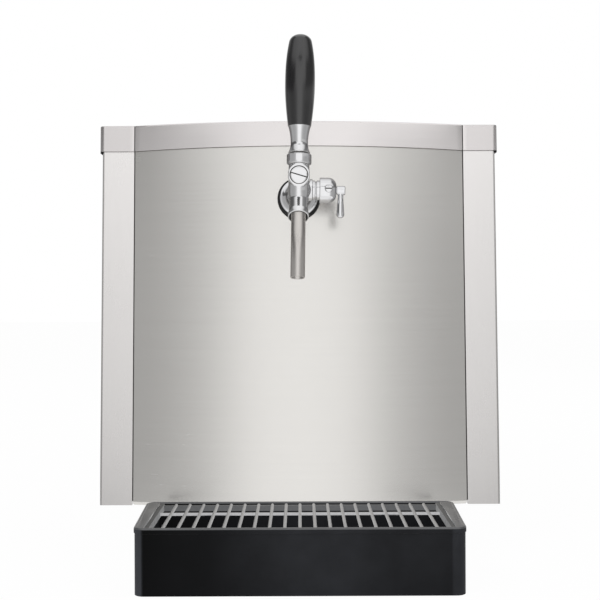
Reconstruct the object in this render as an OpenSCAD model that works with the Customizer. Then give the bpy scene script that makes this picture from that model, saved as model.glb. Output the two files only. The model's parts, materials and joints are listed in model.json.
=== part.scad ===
// Countertop draft beer cooler with one compensator tap and a drip tray.
// Millimetres. X points to the right, Y points to the back and Z points up.
// The origin lies on the counter, under the middle of the whole object.

/* [Cabinet] */
// Width of the cabinet over its side walls
body_w = 420; // [400:1:480]
// Depth from the foot of the front strips to the back
body_d = 430; // [425:1:500]
// Height of the lid's lower edge above the cabinet's underside
edge_h = 373.6; // [368:0.1:420]
// Backward lean of the front in degrees
lean = 3.7; // [2:0.1:5]
// Width of each flat front strip
strip_w = 34; // [28:1:44]
// Rise of the bowed front panel in its middle
bow = 27; // [18:1:34]
// Thickness of the sheet steel
sheet = 1.2; // [0.8:0.1:1.6]
// Outside radius of the sheet's bends
bend_r = 2.5; // [2:0.1:4]
// Open seam between the panel and each strip
seam_gap = 1.2; // [0.8:0.1:2]

/* [Lid] */
// Height of the lid's rim
lid_h = 27.7; // [22:0.1:40]
// Overhang of the lid beyond the walls
lid_over = 2.5; // [2.2:0.1:5]
// Thickness of the foam seal under the lid
seal_t = 3; // [2:0.5:5]
// Width of the seam grooves in the lid's front
groove_w = 0.8; // [0.4:0.1:1.4]

/* [Feet] */
// Height of the cabinet's underside above the counter
leg_h = 52.4; // [48:0.1:70]
// Distance of the legs from the side walls
leg_inset = 68; // [65:1:95]
// Width of a leg at its flange
leg_d = 40; // [30:1:46]
// Thickness of the rubber pads
pad_t = 4; // [2:0.5:6]

/* [Tap] */
// Height of the shank's axis above the cabinet's underside, along the front
tap_h = 319.5; // [312:0.5:328]
// Turn of the whole tap about its shank, in degrees
tap_roll = 0.9; // [0:0.1:2]
// Reach from the panel to the lever's axis
tap_reach = 60; // [58:0.5:66]
// Diameter of the shank
shank_d = 16; // [15:0.5:18]
// Bore through the shank
shank_bore = 8; // [6:0.5:9]
// Diameter of the rosette
rosette_d = 39; // [36:0.5:44]
// Diameter of the black gasket behind the rosette
gasket_d = 44.5; // [42:0.5:50]
// Diameter of the tap's lower barrel
barrel_d = 23; // [22:0.5:25]
// Diameter of the upright barrel under the collar nut
neck_d = 20.6; // [20:0.1:22]
// Diameter of the slotted front plug
plug_d = 16.9; // [16:0.1:17.4]
// Diameter of the collar nut
collar_d = 24.6; // [23:0.1:26]
// Height of the collar nut
collar_h = 11.3; // [10:0.1:13]
// Angle through which the lever pulls forward
pour_angle = 22; // [15:1:24]

/* [Handle] */
// Length of the black handle
handle_h = 92.6; // [80:0.1:120]
// Greatest diameter of the handle
handle_d = 29.6; // [26:0.1:34]
// Diameter of the handle at its foot
handle_foot_d = 23.1; // [21:0.1:26]
// Height of the chrome ferrule
ferrule_h = 26.4; // [22:0.1:32]

/* [Spout] */
// Outside diameter of the spout tube
spout_d = 14.2; // [13:0.1:15]
// Wall of the spout tube
spout_wall = 1; // [0.7:0.1:1.5]
// Length of tube that shows below the tap
spout_len = 65; // [45:0.5:90]
// Forward tilt of the spout from the panel's own slope
spout_tilt = 9.6; // [6:0.1:12]

/* [Compensator] */
// Diameter of the compensator's domed housing
comp_d = 25.4; // [24:0.1:28]
// Length of its lever below the hub
comp_lever = 28; // [22:0.5:34]
// Swing of the lever to each side
comp_swing = 90; // [60:5:90]

/* [Drip tray] */
// Width of the tray at its front
tray_w = 301; // [280:1:320]
// Extra width of the tray at its back, on each side
tray_flare = 5; // [0:0.5:8]
// Depth of the tray from front to back
tray_d = 126; // [110:1:150]
// Height of the tray's rim above the counter
tray_h = 62; // [56:1:70]
// Thickness of the tray's walls
tray_wall = 3; // [2.5:0.1:4]
// Pitch of the grille's wires
wire_pitch = 13.9; // [11:0.1:18]
// Diameter of the grille's wires
wire_d = 3; // [2.5:0.1:4]
// How far the tray draws out
tray_travel = 120; // [80:5:160]

/* [Cooling] */
// Wall of insulating foam round the bath
foam = 22; // [18:1:26]
// Height of the bath's inside
bath_h = 235; // [200:1:250]
// Radius of the copper evaporator coil
evap_r = 74; // [72:0.5:76]
// Turns of the evaporator coil
evap_turns = 9; // [5:1:10]
// Diameter of the evaporator's tube
evap_tube = 9; // [8:0.5:10]
// Radius of the stainless beer coil
beer_r = 52; // [48:0.5:54]
// Turns of the beer coil
beer_turns = 13; // [6:1:14]
// Diameter of the beer coil's tube
beer_tube = 8; // [6:0.5:8.5]
// Diameter of the compressor's shell
compressor_d = 122; // [110:1:130]
// Diameter of the fan's blades
fan_d = 126; // [110:1:132]

/* [Hidden] */
$fn = 64;

// Gap between pieces that pass each other
fit = 0.3;
// Radial running clearance of a pin, a shaft or a screwed seat
run = 0.05;
// Overlap or overshoot of a cut
cut = 1;

// Colours
steel = [0.78, 0.77, 0.76];
bright = [0.86, 0.86, 0.87];
dark = [0.07, 0.07, 0.075];
rubber = [0.05, 0.05, 0.05];
copper = [0.72, 0.43, 0.28];
foam_white = [0.9, 0.9, 0.86];

// Radius of an arc with a given half chord and rise
function arc_radius(half_chord, rise) = (half_chord * half_chord + rise * rise) / (2 * rise);
function unit(v) = v / norm(v);
function polar(r, a) = [r * cos(a), r * sin(a), 0];

// Cabinet planes
half_w = body_w / 2;
seam_x = half_w - strip_w;
panel_x = seam_x - seam_gap;
panel_r = arc_radius(panel_x, bow);
panel_angle = asin(panel_x / panel_r);
edge_z = leg_h + edge_h;
top_z = edge_z + lid_h;
wall_z = top_z - sheet - fit - seal_t;
pan_z = leg_h + sheet;
pan_top = pan_z + sheet;
flange = 12;
seam_flange = 10;
inner_back = body_d - sheet;

// How far back the front lies at a height
function slope(z) = (z - leg_h) * tan(lean);

// Reach to the front and back, which centres the object on its origin
tray_gap = 4;
inlet_reach = 26;
reach_front = tray_gap + bow + tray_d;
reach_back = body_d + inlet_reach;
front_y = (reach_front - reach_back) / 2;

// Cabinet coordinates, with Y zero at the foot of the front strips
module in_place() translate([0, front_y, 0]) children();

// The front's own plane, which leans back
module leaning(z = leg_h) in_place() translate([0, slope(z), z]) rotate([-lean, 0, 0]) children();

// Plan of the cabinet, grown outwards, with its bowed front
module outline(grow, back) {
    w = half_w + grow;
    corner = max(bend_r + grow, 0.2);
    translate([-w, corner - grow]) square([2 * w, back - corner + grow]);
    translate([corner - w, -grow]) square([2 * (w - corner), corner + 0.1]);
    for (side = [-1, 1]) translate([side * (w - corner), corner - grow]) circle(corner);
    intersection() {
        translate([0, panel_r - bow]) circle(panel_r + grow, $fn = 200);
        translate([-w, -bow - grow - cut]) square([2 * w, bow + cut + 0.1]);
    }
}

// The same plan, where a level plane cuts the leaning front
module level_outline(grow, z) translate([0, slope(z)]) outline(grow, inner_back - slope(z));

module round_rect(size, r) {
    for (x = [r, size[0] - r], y = [r, size[1] - r]) translate([x, y]) circle(r);
    translate([r, 0]) square([size[0] - 2 * r, size[1]]);
    translate([0, r]) square([size[0], size[1] - 2 * r]);
}

module slot(length, width) {
    translate([-width / 2, 0]) square([width, length]);
    for (y = [0, length]) translate([0, y]) circle(width / 2);
}

// Turns drawing in a plan into drawing on the back wall or on a side wall
module on_back(y) translate([0, y, 0]) rotate([90, 0, 0]) children();
module on_side(x) translate([x, 0, 0]) rotate([90, 0, 90]) children();

// Points a shape along a direction
module aim(d) rotate([0, acos(d[2]), atan2(d[1], d[0])]) children();

// A bent pipe with straight runs between round elbows, its corners on a fine grid
module pipe(corners, d, r) {
    points = [for (p = corners) [for (c = p) round(c * 50) / 50]];
    last = len(points) - 1;
    dirs = [for (i = [0 : last - 1]) unit(points[i + 1] - points[i])];
    turn = [0, for (i = [1 : last - 1]) acos(dirs[i - 1] * dirs[i]), 0];
    trim = [for (a = turn) r * tan(a / 2)];
    for (i = [0 : last - 1]) {
        run_length = norm(points[i + 1] - points[i]) - trim[i] - trim[i + 1];
        translate(points[i] + dirs[i] * trim[i]) aim(dirs[i]) cylinder(d = d, h = run_length);
    }
    for (i = [1 : last - 1]) {
        a = dirs[i - 1];
        inward = unit(dirs[i] - a * (a * dirs[i]));
        centre = points[i] - a * trim[i] + inward * r;
        x = -inward;
        z = cross(x, a);
        multmatrix([[x[0], a[0], z[0], centre[0]],
                    [x[1], a[1], z[1], centre[1]],
                    [x[2], a[2], z[2], centre[2]],
                    [0, 0, 0, 1]])
            rotate_extrude(angle = turn[i]) translate([r, 0]) circle(d = d);
    }
}

// Points of a coil: down one riser, round the turns and up the other riser
coil_steps = 24;
coil_sides = 6;
coil_lead = 40;
function bend_in(p, a, r, z) =
    [for (f = [0 : 22.5 : 90])
        p + [-sin(a), cos(a), 0] * r * (1 - cos(f)) + [0, 0, z + r * (1 - sin(f))]];
function bend_out(p, a, r, z) =
    [for (f = [0 : 22.5 : 90])
        p + [-sin(a), cos(a), 0] * r * sin(f) + [0, 0, z + r * (1 - cos(f))]];
function ease(t) = t * t * (3 - 2 * t);
function coil_path(r, riser, a, turns, low, high, top, bend) =
    let (
        sweep = 360 * turns + 180 - 2 * coil_lead,
        out_a = a + 2 * coil_lead + sweep,
        far = norm([riser, bend]),
        shift = atan2(bend, riser),
        start = a + coil_lead,
        steps = round(sweep / 360 * coil_steps)
    )
    concat(
        [polar(riser, a) + [0, 0, top]],
        bend_in(polar(riser, a), a, bend, low),
        [for (t = [0.34, 0.67]) polar(far + (r - far) * ease(t), a + shift + (coil_lead - shift) * t)
            + [0, 0, low]],
        [for (i = [0 : steps])
            polar(r, start + sweep * i / steps) + [0, 0, low + (high - low) * i / steps]],
        [for (t = [0.33, 0.66]) polar(r + (riser - r) * ease(t), start + sweep + coil_lead * t)
            + [0, 0, high]],
        bend_out(polar(riser, out_a), out_a, bend, high),
        [polar(riser, out_a) + [-sin(out_a), cos(out_a), 0] * bend + [0, 0, top]]
    );
function coil_exit(riser, a, turns, bend) =
    let (out_a = a + 360 * turns + 180) polar(riser, out_a) + [-sin(out_a), cos(out_a), 0] * bend;

// Least gap of a coil to itself, between points more than half a turn apart
function least_gap(path, d) =
    min([for (i = [0 : len(path) - 1], j = [i + coil_steps / 2 : len(path) - 1])
        norm(path[i] - path[j])]) - d;

// One unbroken tube along a path, whose rings never twist
module tube_along(path, d) {
    n = len(path);
    along = [for (i = [0 : n - 1]) unit(path[min(i + 1, n - 1)] - path[max(i - 1, 0)])];
    side = [for (i = 0, u = [1, 0, 0]; i < n; i = i + 1,
        u = unit(u - along[min(i, n - 1)] * (u * along[min(i, n - 1)]))) u];
    rings = [for (i = [0 : n - 1], k = [0 : coil_sides - 1])
        let (f = 360 * k / coil_sides)
        path[i] + d / 2 * (cos(f) * side[i] + sin(f) * cross(along[i], side[i]))];
    walls = [for (i = [0 : n - 2], k = [0 : coil_sides - 1])
        let (a = i * coil_sides + k, b = i * coil_sides + (k + 1) % coil_sides)
        each [[a, a + coil_sides, b], [b, a + coil_sides, b + coil_sides]]];
    first = [for (k = [1 : coil_sides - 2]) [0, k, k + 1]];
    end = (n - 1) * coil_sides;
    last = [for (k = [1 : coil_sides - 2]) [end, end + k + 1, end + k]];
    polyhedron(rings, concat(walls, first, last));
}

// Cabinet shell

pan_front = 16;
leg_y = [45, body_d - 50];
leg_x = half_w - leg_inset;
leg_stud = 8;
module at_legs() in_place() for (x = [-leg_x, leg_x], y = leg_y) translate([x, y, 0]) children();

vent_z = leg_h + 14;
module base_pan() color(steel) difference() {
    in_place() {
        difference() {
            translate([0, 0, pan_z]) linear_extrude(20) pan_plan(sheet + run);
            translate([0, 0, pan_top]) linear_extrude(20) pan_plan(2 * sheet + run);
        }
    }
    at_legs() translate([0, 0, pan_z - cut]) cylinder(d = leg_stud + 2 * run, h = sheet + 2 * cut);
    in_place() translate([compressor_x, compressor_y, pan_z - cut]) linear_extrude(sheet + 2 * cut)
        for (i = [-4 : 4]) translate([i * 12, -30]) slot(60, 5);
}
module pan_plan(inset) intersection() {
    outline(-inset, inner_back - sheet - inset);
    translate([0, panel_r - bow]) circle(panel_r - pan_front - inset, $fn = 200);
}

module legs() color(dark) at_legs() {
    foot_r = leg_d / 2 - 3;
    rotate_extrude() polygon([[0, pad_t], [foot_r, pad_t], [foot_r, pad_t + 6], [foot_r - 4, pad_t + 16],
        [foot_r - 4, pan_z - 10], [leg_d / 2, pan_z - 5], [leg_d / 2, pan_z], [leg_stud / 2, pan_z],
        [leg_stud / 2, pan_top + 6], [0, pan_top + 6]]);
}

module foot_pads() color(rubber) at_legs() rotate_extrude()
    polygon([[0, 0], [leg_d / 2 - 5, 0], [leg_d / 2 - 3, 1.5], [leg_d / 2 - 3, pad_t], [0, pad_t]]);

louvre_n = 11;
louvre_pitch = 11;
louvre_w = 4;
louvre_h = 70;
module wall_profile() {
    translate([seam_x, 0]) square([strip_w - bend_r, sheet]);
    translate([seam_x, 0]) square([sheet, seam_flange]);
    translate([half_w - sheet, bend_r]) square([sheet, body_d + slope(top_z)]);
    translate([half_w - bend_r, bend_r]) intersection() {
        difference() {
            circle(bend_r);
            circle(bend_r - sheet);
        }
        translate([0, -bend_r]) square(bend_r);
    }
}
module side_wall() in_place() difference() {
    union() {
        intersection() {
            translate([0, -slope(leg_h + cut), leg_h - cut]) rotate([-lean, 0, 0])
                linear_extrude((wall_z - leg_h) / cos(lean) + 3 * cut) wall_profile();
            translate([seam_x - cut, -cut, leg_h])
                cube([strip_w + 2 * cut, inner_back + cut, wall_z - leg_h]);
        }
        // Rear, bottom and top flanges
        translate([half_w - flange, inner_back - sheet, leg_h]) cube([flange, sheet, wall_z - leg_h]);
        translate([half_w - flange, bend_r, leg_h]) cube([flange, inner_back - bend_r, sheet]);
        translate([half_w - flange, slope(wall_z) + bend_r, wall_z - sheet])
            cube([flange, inner_back - slope(wall_z) - bend_r, sheet]);
    }
    on_side(half_w - flange) linear_extrude(flange + cut)
        for (i = [0 : louvre_n - 1])
            translate([body_d - 50 - i * louvre_pitch, leg_h + 40]) slot(louvre_h, louvre_w);
    back_screws(screw_d / 2 + run);
}
module side_wall_right() color(steel) side_wall();
module side_wall_left() color(steel) mirror([1, 0, 0]) side_wall();

panel_bend = 4;
panel_h = (wall_z - leg_h - bow * sin(lean)) / cos(lean) - 1;
module front_panel() color(steel) difference() {
    leaning() {
        translate([0, panel_r - bow, 0]) rotate([0, 0, 270 - panel_angle])
            rotate_extrude(angle = 2 * panel_angle, $fn = 400) {
                translate([panel_r - sheet, panel_bend]) square([sheet, panel_h - panel_bend]);
                translate([panel_r - flange, 0]) square([flange - panel_bend, sheet]);
                translate([panel_r - flange, panel_h - sheet]) square([flange, sheet]);
                translate([panel_r - panel_bend, panel_bend]) intersection() {
                    difference() {
                        circle(panel_bend);
                        circle(panel_bend - sheet);
                    }
                    translate([0, -panel_bend]) square(panel_bend);
                }
            }
        for (side = [-1, 1]) translate([side * (panel_x - sheet / 2) - sheet / 2, 0.2, panel_bend])
            cube([sheet, seam_flange - 0.2, panel_h - panel_bend]);
    }
    tap_frame() outward(-flange) cylinder(r = shank_d / 2 + 0.5, h = 2 * flange);
}

module seam_seals() color(rubber) for (side = [-1, 1]) leaning()
    translate([side * (panel_x + seam_gap / 2) - seam_gap / 2, bend_r, panel_bend])
        cube([seam_gap, seam_flange - bend_r, panel_h - panel_bend]);

// Back wall

screw_d = 3.6;
screw_x = half_w - flange / 2 - sheet / 2;
screw_z = [for (i = [0 : 4]) leg_h + 24 + i * (edge_h - 40) / 4];
module back_screws(r) for (side = [-1, 1], z = screw_z)
    translate([side * screw_x, body_d + cut, z]) rotate([90, 0, 0]) cylinder(r = r, h = 3 * sheet + cut);

condenser_x = 98;
condenser_w = 150;
condenser_h = 160;
condenser_t = 36;
condenser_z = pan_top + 8;
condenser_y = inner_back - condenser_t - 5;
fan_z = condenser_z + condenser_h / 2;
knob_x = -92;
switch_x = -150;
control_z = leg_h + 300;
mains_z = leg_h + 232;
inlet_x = 62;
inlet_z = leg_h + 322;
drain_x = -18;
knob_shaft = 6;
switch_size = [22, 30];
mains_size = [27, 20];
stub_d = 9.5;
drain_d = 12;

grille_rows = 5;
grille_cols = 12;
grille_pitch = 11.5;
module rear_panel() color(steel) in_place() difference() {
    translate([sheet + 1 - half_w, inner_back, leg_h + 2])
        cube([body_w - 2 * sheet - 2, sheet, wall_z - leg_h - 4]);
    on_back(body_d + cut) linear_extrude(sheet + 2 * cut) {
        for (i = [0 : grille_cols - 1]) translate([(i - (grille_cols - 1) / 2) * grille_pitch, 0]) {
            for (k = [0 : grille_rows - 1]) translate([condenser_x, condenser_z + 6 + k * 31]) slot(24, 5);
            translate([compressor_x, leg_h + 40]) slot(60, 5);
        }
        translate([knob_x, control_z]) circle(knob_shaft / 2 + 1);
        translate([switch_x - switch_size[0] / 2, control_z - switch_size[1] / 2]) square(switch_size);
        translate([switch_x - mains_size[0] / 2, mains_z - mains_size[1] / 2]) square(mains_size);
        translate([inlet_x, inlet_z]) circle(inlet_thread / 2 + run);
        translate([drain_x, drain_z]) circle(drain_d / 2 + run);
    }
    back_screws(screw_d / 2 + run);
}

module panel_screws() color(bright) in_place() for (side = [-1, 1], z = screw_z)
    translate([side * screw_x, body_d, z]) rotate([90, 0, 0]) {
        head_r = screw_d;
        difference() {
            rotate_extrude() {
                translate([0, -0.8]) square([head_r, 0.8]);
                intersection() {
                    translate([0, arc_radius(head_r, 1.4) - 2.2]) circle(arc_radius(head_r, 1.4));
                    translate([0, -2.3]) square([head_r, 1.6]);
                }
            }
            for (a = [0, 90]) rotate([0, 0, a])
                translate([-head_r / 2, -0.4, -3]) cube([head_r, 0.8, 1.8]);
        }
        cylinder(d = screw_d, h = 8);
    }

// Lid

module lid() color(steel) difference() {
    intersection() {
        leaning(edge_z) linear_extrude(2 * lid_h) outline(lid_over, body_d + slope(top_z));
        lid_slab(edge_z, top_z, lid_over);
    }
    intersection() {
        leaning(edge_z - 2 * cut) linear_extrude(2 * lid_h) outline(lid_over - sheet, body_d + slope(top_z));
        lid_slab(edge_z - 2 * cut, top_z - sheet, lid_over - sheet);
    }
    // Grooves where the flat ends meet the bowed middle
    for (side = [-1, 1]) leaning(edge_z) translate([side * lid_seam, -lid_over, -cut]) rotate([0, 0, 45])
        translate([-groove_w / 2, -groove_w / 2, 0]) cube([groove_w, groove_w, 2 * lid_h]);
}
module lid_slab(low, high, over) in_place() translate([-body_w, -2 * bow, low])
    cube([2 * body_w, body_d + over + 2 * bow, high - low]);
lid_seam = sqrt(bow * (2 * (panel_r + lid_over) - bow));

module lid_seal() color(rubber) in_place() translate([0, 0, wall_z]) linear_extrude(seal_t)
    difference() {
        level_outline(-sheet, wall_z);
        level_outline(1 - flange, wall_z);
    }

// Ice water bath

bath_x = 110;
bath_deep = 168;
bath_front = 16;
tank_wall = 1;
bath_y = bath_front + foam + tank_wall + bath_deep / 2;
bath_z = pan_top + foam + tank_wall;
rim_z = bath_z + bath_h;
cover_t = 14;
cover_z = rim_z + tank_wall;
deck_z = cover_z + cover_t;
bath_outer = [2 * (bath_x + tank_wall + foam), bath_deep + 2 * (tank_wall + foam)];
bath_corner = 14;
drain_z = bath_z + 12;

module bath_block(shrink, z, h) in_place()
    translate([-bath_outer[0] / 2 + shrink, bath_front + shrink, z]) linear_extrude(h)
        round_rect([bath_outer[0] - 2 * shrink, bath_outer[1] - 2 * shrink],
            max(bath_corner - shrink / 3, 4));

module bath_insulation() color(foam_white) difference() {
    bath_block(0, pan_top, rim_z - pan_top);
    bath_block(foam, pan_top + foam, bath_h + foam);
    drain_bore(drain_d / 2 + run);
}

module bath_tank() color(bright) difference() {
    union() {
        bath_block(foam, pan_top + foam, bath_h + tank_wall);
        bath_block(foam - 10, rim_z, tank_wall);
    }
    bath_block(foam + tank_wall, bath_z, bath_h + foam);
    drain_bore(drain_d / 2 + run);
}
module drain_bore(r) in_place() translate([drain_x, bath_y, drain_z]) rotate([-90, 0, 0])
    cylinder(r = r, h = bath_outer[1] / 2 + cut);

// Coils inside the bath
coil_bend = 12;
coil_low = bath_z + 20;
coil_high = rim_z - 44;
riser_top = deck_z + 10;
evap_riser = evap_r + 16;
beer_riser = beer_r - 14;
evap_start = 0;
beer_start = atan2(beer_riser, coil_bend);
evap_path = coil_path(evap_r, evap_riser, evap_start, evap_turns, coil_low, coil_high,
    riser_top, coil_bend);
beer_path = coil_path(beer_r, beer_riser, beer_start, beer_turns, coil_low, coil_high,
    riser_top, coil_bend);
evap_in = polar(evap_riser, evap_start) + [0, bath_y, 0];
evap_out = coil_exit(evap_riser, evap_start, evap_turns, coil_bend) + [0, bath_y, 0];
beer_in = polar(beer_riser, beer_start) + [0, bath_y, 0];
beer_out = coil_exit(beer_riser, beer_start, beer_turns, coil_bend) + [0, bath_y, 0];

module evaporator_coil() {
    echo("evaporator coil, least gap to itself in mm", least_gap(evap_path, evap_tube));
    color(copper) in_place() translate([0, bath_y, 0]) tube_along(evap_path, evap_tube);
}
module beer_coil() {
    echo("beer coil, least gap to itself in mm", least_gap(beer_path, beer_tube));
    color(bright) in_place() translate([0, bath_y, 0]) tube_along(beer_path, beer_tube);
}

filler_d = 34;
filler_at = [-86, bath_y - 56];
shaft_d = 6;
module bath_cover() color([0.2, 0.21, 0.22]) difference() {
    bath_block(2, cover_z, cover_t);
    in_place() translate([0, 0, cover_z - cut]) {
        translate([0, bath_y, 0]) cylinder(r = shaft_d / 2 + 1.5, h = cover_t + 2 * cut);
        translate(filler_at) cylinder(d = filler_d, h = cover_t + 2 * cut);
        for (p = [evap_in, evap_out]) translate(p)
            cylinder(r = evap_tube / 2 + fit, h = cover_t + 2 * cut);
        for (p = [beer_in, beer_out]) translate(p)
            cylinder(r = beer_tube / 2 + fit, h = cover_t + 2 * cut);
    }
}

module filler_cap() color(dark) in_place() translate([filler_at[0], filler_at[1], deck_z]) difference() {
    rotate_extrude() {
        translate([0, -cover_t + 2]) square([filler_d / 2 - fit, cover_t - 2 + fit]);
        translate([0, fit]) square([filler_d / 2 + 4, 3]);
        translate([0, fit + 3]) square([7, 9]);
        translate([0, fit + 12]) square([9, 3]);
    }
    translate([0, 0, -cover_t]) cylinder(d = filler_d - 6, h = cover_t - 3);
}

// Agitator
agitator_d = 56;
agitator_h = 46;
agitator_z = deck_z + 8;
prop_z = bath_z + 34;
prop_r = 24;
module agitator_motor() color(dark) in_place() translate([0, bath_y, 0]) {
    difference() {
        translate([0, 0, agitator_z]) rotate_extrude() difference() {
            union() {
                square([agitator_d / 2 - 3, agitator_h]);
                translate([0, 3]) square([agitator_d / 2, agitator_h - 6]);
                translate([agitator_d / 2 - 3, 3]) circle(3);
                translate([agitator_d / 2 - 3, agitator_h - 3]) circle(3);
            }
            translate([0, -cut]) square([shaft_d / 2 + run, agitator_h - 8]);
            for (i = [0 : 3]) translate([agitator_d / 2, 12 + i * 6]) circle(1.2);
        }
    }
    for (a = [45 : 90 : 315]) rotate([0, 0, a]) translate([agitator_d / 2 - 8, 0, deck_z])
        cylinder(d = 8, h = agitator_z - deck_z + 0.5);
}
module agitator_shaft() color(bright) in_place() translate([0, bath_y, 0]) {
    translate([0, 0, prop_z]) cylinder(d = shaft_d, h = agitator_z + agitator_h - 12 - prop_z);
    translate([0, 0, prop_z - 4]) cylinder(d = 12, h = 14);
    blades(3, prop_r, 5, 12, 2, 32, prop_z + 3);
}
// Flat blades set at an angle to a hub
module blades(n, r, hub, width, t, pitch, z) for (i = [0 : n - 1]) rotate([0, 0, i * 360 / n])
    intersection() {
        translate([hub - 1, -width, z - width]) cube([r, 2 * width, 2 * width]);
        translate([0, 0, z]) rotate([pitch, 0, 0]) translate([0, -width / 2, -t / 2])
            cube([2 * r, width, t]);
        translate([0, 0, z - width]) cylinder(r = r, h = 2 * width);
    }

// Refrigeration
compressor_x = -112;
compressor_y = (bath_front + bath_outer[1] + inner_back) / 2;
compressor_z = pan_top + 14;
compressor_r = compressor_d / 2;
compressor_h = 148;
mount_at = [54, 46];
module compressor() color(dark) in_place() translate([compressor_x, compressor_y, compressor_z]) {
    dome = 26;
    dome_r = arc_radius(compressor_r, dome);
    difference() {
        union() {
            translate([0, 0, 2]) rotate_extrude() {
                translate([0, dome]) square([compressor_r, compressor_h - 2 * dome]);
                translate([0, compressor_h * 0.55]) square([compressor_r + 4, 5]);
                for (top = [0, 1]) intersection() {
                    translate([0, top ? compressor_h - dome_r : dome_r]) circle(dome_r);
                    translate([0, top ? compressor_h - dome : 0]) square([compressor_r, dome]);
                }
            }
            cylinder(r = compressor_r * 0.72, h = dome);
            linear_extrude(3) translate([-mount_at[0] - 12, -mount_at[1] - 12])
                round_rect([2 * mount_at[0] + 24, 2 * mount_at[1] + 24], 10);
        }
        at_mounts() translate([0, 0, -cut]) cylinder(d = 9, h = 3 + 2 * cut);
    }
    // Terminal box
    translate([-22, -compressor_r - 14, 44]) cube([44, 24, 48]);
    // Suction and discharge stubs
    translate([suction_at[0] - compressor_x, suction_at[1] - compressor_y, suction_z - compressor_z])
        rotate([-90, 0, 0]) cylinder(d = evap_tube + 3, h = 20);
    translate([compressor_r - 10, 0, discharge_z - compressor_z]) rotate([0, 90, 0])
        cylinder(d = 9, h = 16);
}
suction_at = [evap_out[0], compressor_y - compressor_r + 2];
suction_z = compressor_z + 116;
discharge_z = compressor_z + 50;
module at_mounts() for (x = [-1, 1], y = [-1, 1])
    translate([x * mount_at[0], y * mount_at[1], 0]) children();
module compressor_mounts() color(rubber) in_place() translate([compressor_x, compressor_y, pan_top])
    at_mounts() rotate_extrude() {
        square([4, compressor_z - pan_top + 8]);
        square([10, compressor_z - pan_top]);
        translate([0, compressor_z - pan_top + 3]) square([7.5, 4]);
    }

fin_n = 22;
tube_rows = 8;
tube_d = 8;
module condenser() color([0.55, 0.56, 0.57]) in_place()
    translate([condenser_x - condenser_w / 2, condenser_y, condenser_z]) {
        row = condenser_h / tube_rows;
        low = pan_top - condenser_z;
        for (i = [0 : fin_n - 1]) translate([12 + i * (condenser_w - 24.8) / (fin_n - 1), 0, 0])
            cube([0.8, condenser_t, condenser_h]);
        for (x = [8, condenser_w - 9.5]) translate([x, -1, low])
            cube([1.5, condenser_t + 2, condenser_h - low + 3]);
        for (k = [0 : tube_rows - 1]) translate([0, condenser_t / 2, row * (k + 0.5)]) {
            left = k == tube_rows - 1 || k == 0 ? -6 : 2;
            even = k % 2 == 0;
            translate([left, 0, 0]) rotate([0, 90, 0]) cylinder(d = tube_d, h = condenser_w - 2 - left);
            if (k < tube_rows - 1) translate([even ? condenser_w - 2 : 2, 0, row / 2])
                rotate([90, even ? 90 : -90, 0])
                    rotate_extrude(angle = 180) translate([row / 2, 0]) circle(d = tube_d);
        }
    }

fan_y = condenser_y - 4;
blade_w = 26;
motor_d = 54;
motor_l = 34;
fan_motor_y = fan_y - blade_w - motor_l - 2;
module at_fan(y) in_place() translate([condenser_x, y, fan_z]) rotate([-90, 0, 0]) children();
module fan_shroud() color(steel) {
    plate = condenser_w - 16;
    difference() {
        at_fan(fan_y) translate([-plate / 2, -condenser_h / 2, 0]) cube([plate, condenser_h, 2]);
        at_fan(fan_y - cut) cylinder(r = fan_d / 2 + 2, h = 4);
    }
    at_fan(fan_y - blade_w + 8) difference() {
        cylinder(r = fan_d / 2 + 3.2, h = blade_w - 6);
        translate([0, 0, -cut]) cylinder(r = fan_d / 2 + 2, h = blade_w);
    }
    // Arms that hold the motor
    at_fan(fan_motor_y - 3) cylinder(r = 16, h = 3);
    for (a = [0 : 120 : 240]) at_fan(fan_motor_y - 3) rotate([0, 0, a + 90]) {
        translate([0, -6, 0]) cube([fan_d / 2 + 8, 12, 3]);
        translate([fan_d / 2 + 5, -6, 0]) cube([3, 12, fan_y - fan_motor_y + 3]);
    }
    // Edges that sit on the condenser's side plates
    for (side = [-1, 1]) at_fan(fan_y) translate([side * (plate / 2 - 1.5) - 1.5, -condenser_h / 2, 0])
        cube([3, condenser_h, 3]);
}
module fan_motor() color(dark) at_fan(fan_motor_y) difference() {
    union() {
        cylinder(d = motor_d, h = motor_l);
        translate([0, 0, 8]) cylinder(d = motor_d + 4, h = 12);
        translate([0, 0, motor_l - 0.5]) cylinder(d = 18, h = 3);
    }
    translate([0, 0, 10]) cylinder(r = shaft_d / 2 + run, h = motor_l);
}
module fan_blade() color([0.75, 0.75, 0.77]) at_fan(fan_motor_y + motor_l) {
    translate([0, 0, 3]) cylinder(d = 30, h = blade_w - 6);
    translate([0, 0, -20]) cylinder(d = shaft_d, h = 24);
    blades(5, fan_d / 2 - 2, 12, 30, 1.6, 28, blade_w / 2 + 2);
}

dryer_at = [condenser_x - condenser_w / 2 - 22, bath_front + bath_outer[1] + 22];
dryer_z = pan_top + 70;
dryer_h = 102;
dryer_r = 9.5;
dryer_pipe = 2.5;
module filter_dryer() color(copper) in_place() translate([dryer_at[0], dryer_at[1], dryer_z])
    rotate_extrude() {
        square([dryer_pipe, dryer_h]);
        polygon([[0, 8], [dryer_pipe, 8], [dryer_r, 18], [dryer_r, dryer_h - 18], [dryer_pipe, dryer_h - 8],
            [0, dryer_h - 8]]);
    }

line_z = deck_z + 26;
line_y = bath_front + bath_outer[1] + 14;
module suction_line() pipe([
    [evap_out[0], evap_out[1], riser_top],
    [evap_out[0], evap_out[1], line_z],
    [evap_out[0], line_y, line_z],
    [evap_out[0], line_y, suction_z],
    [evap_out[0], suction_at[1], suction_z]], evap_tube - 1, 9);

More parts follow.
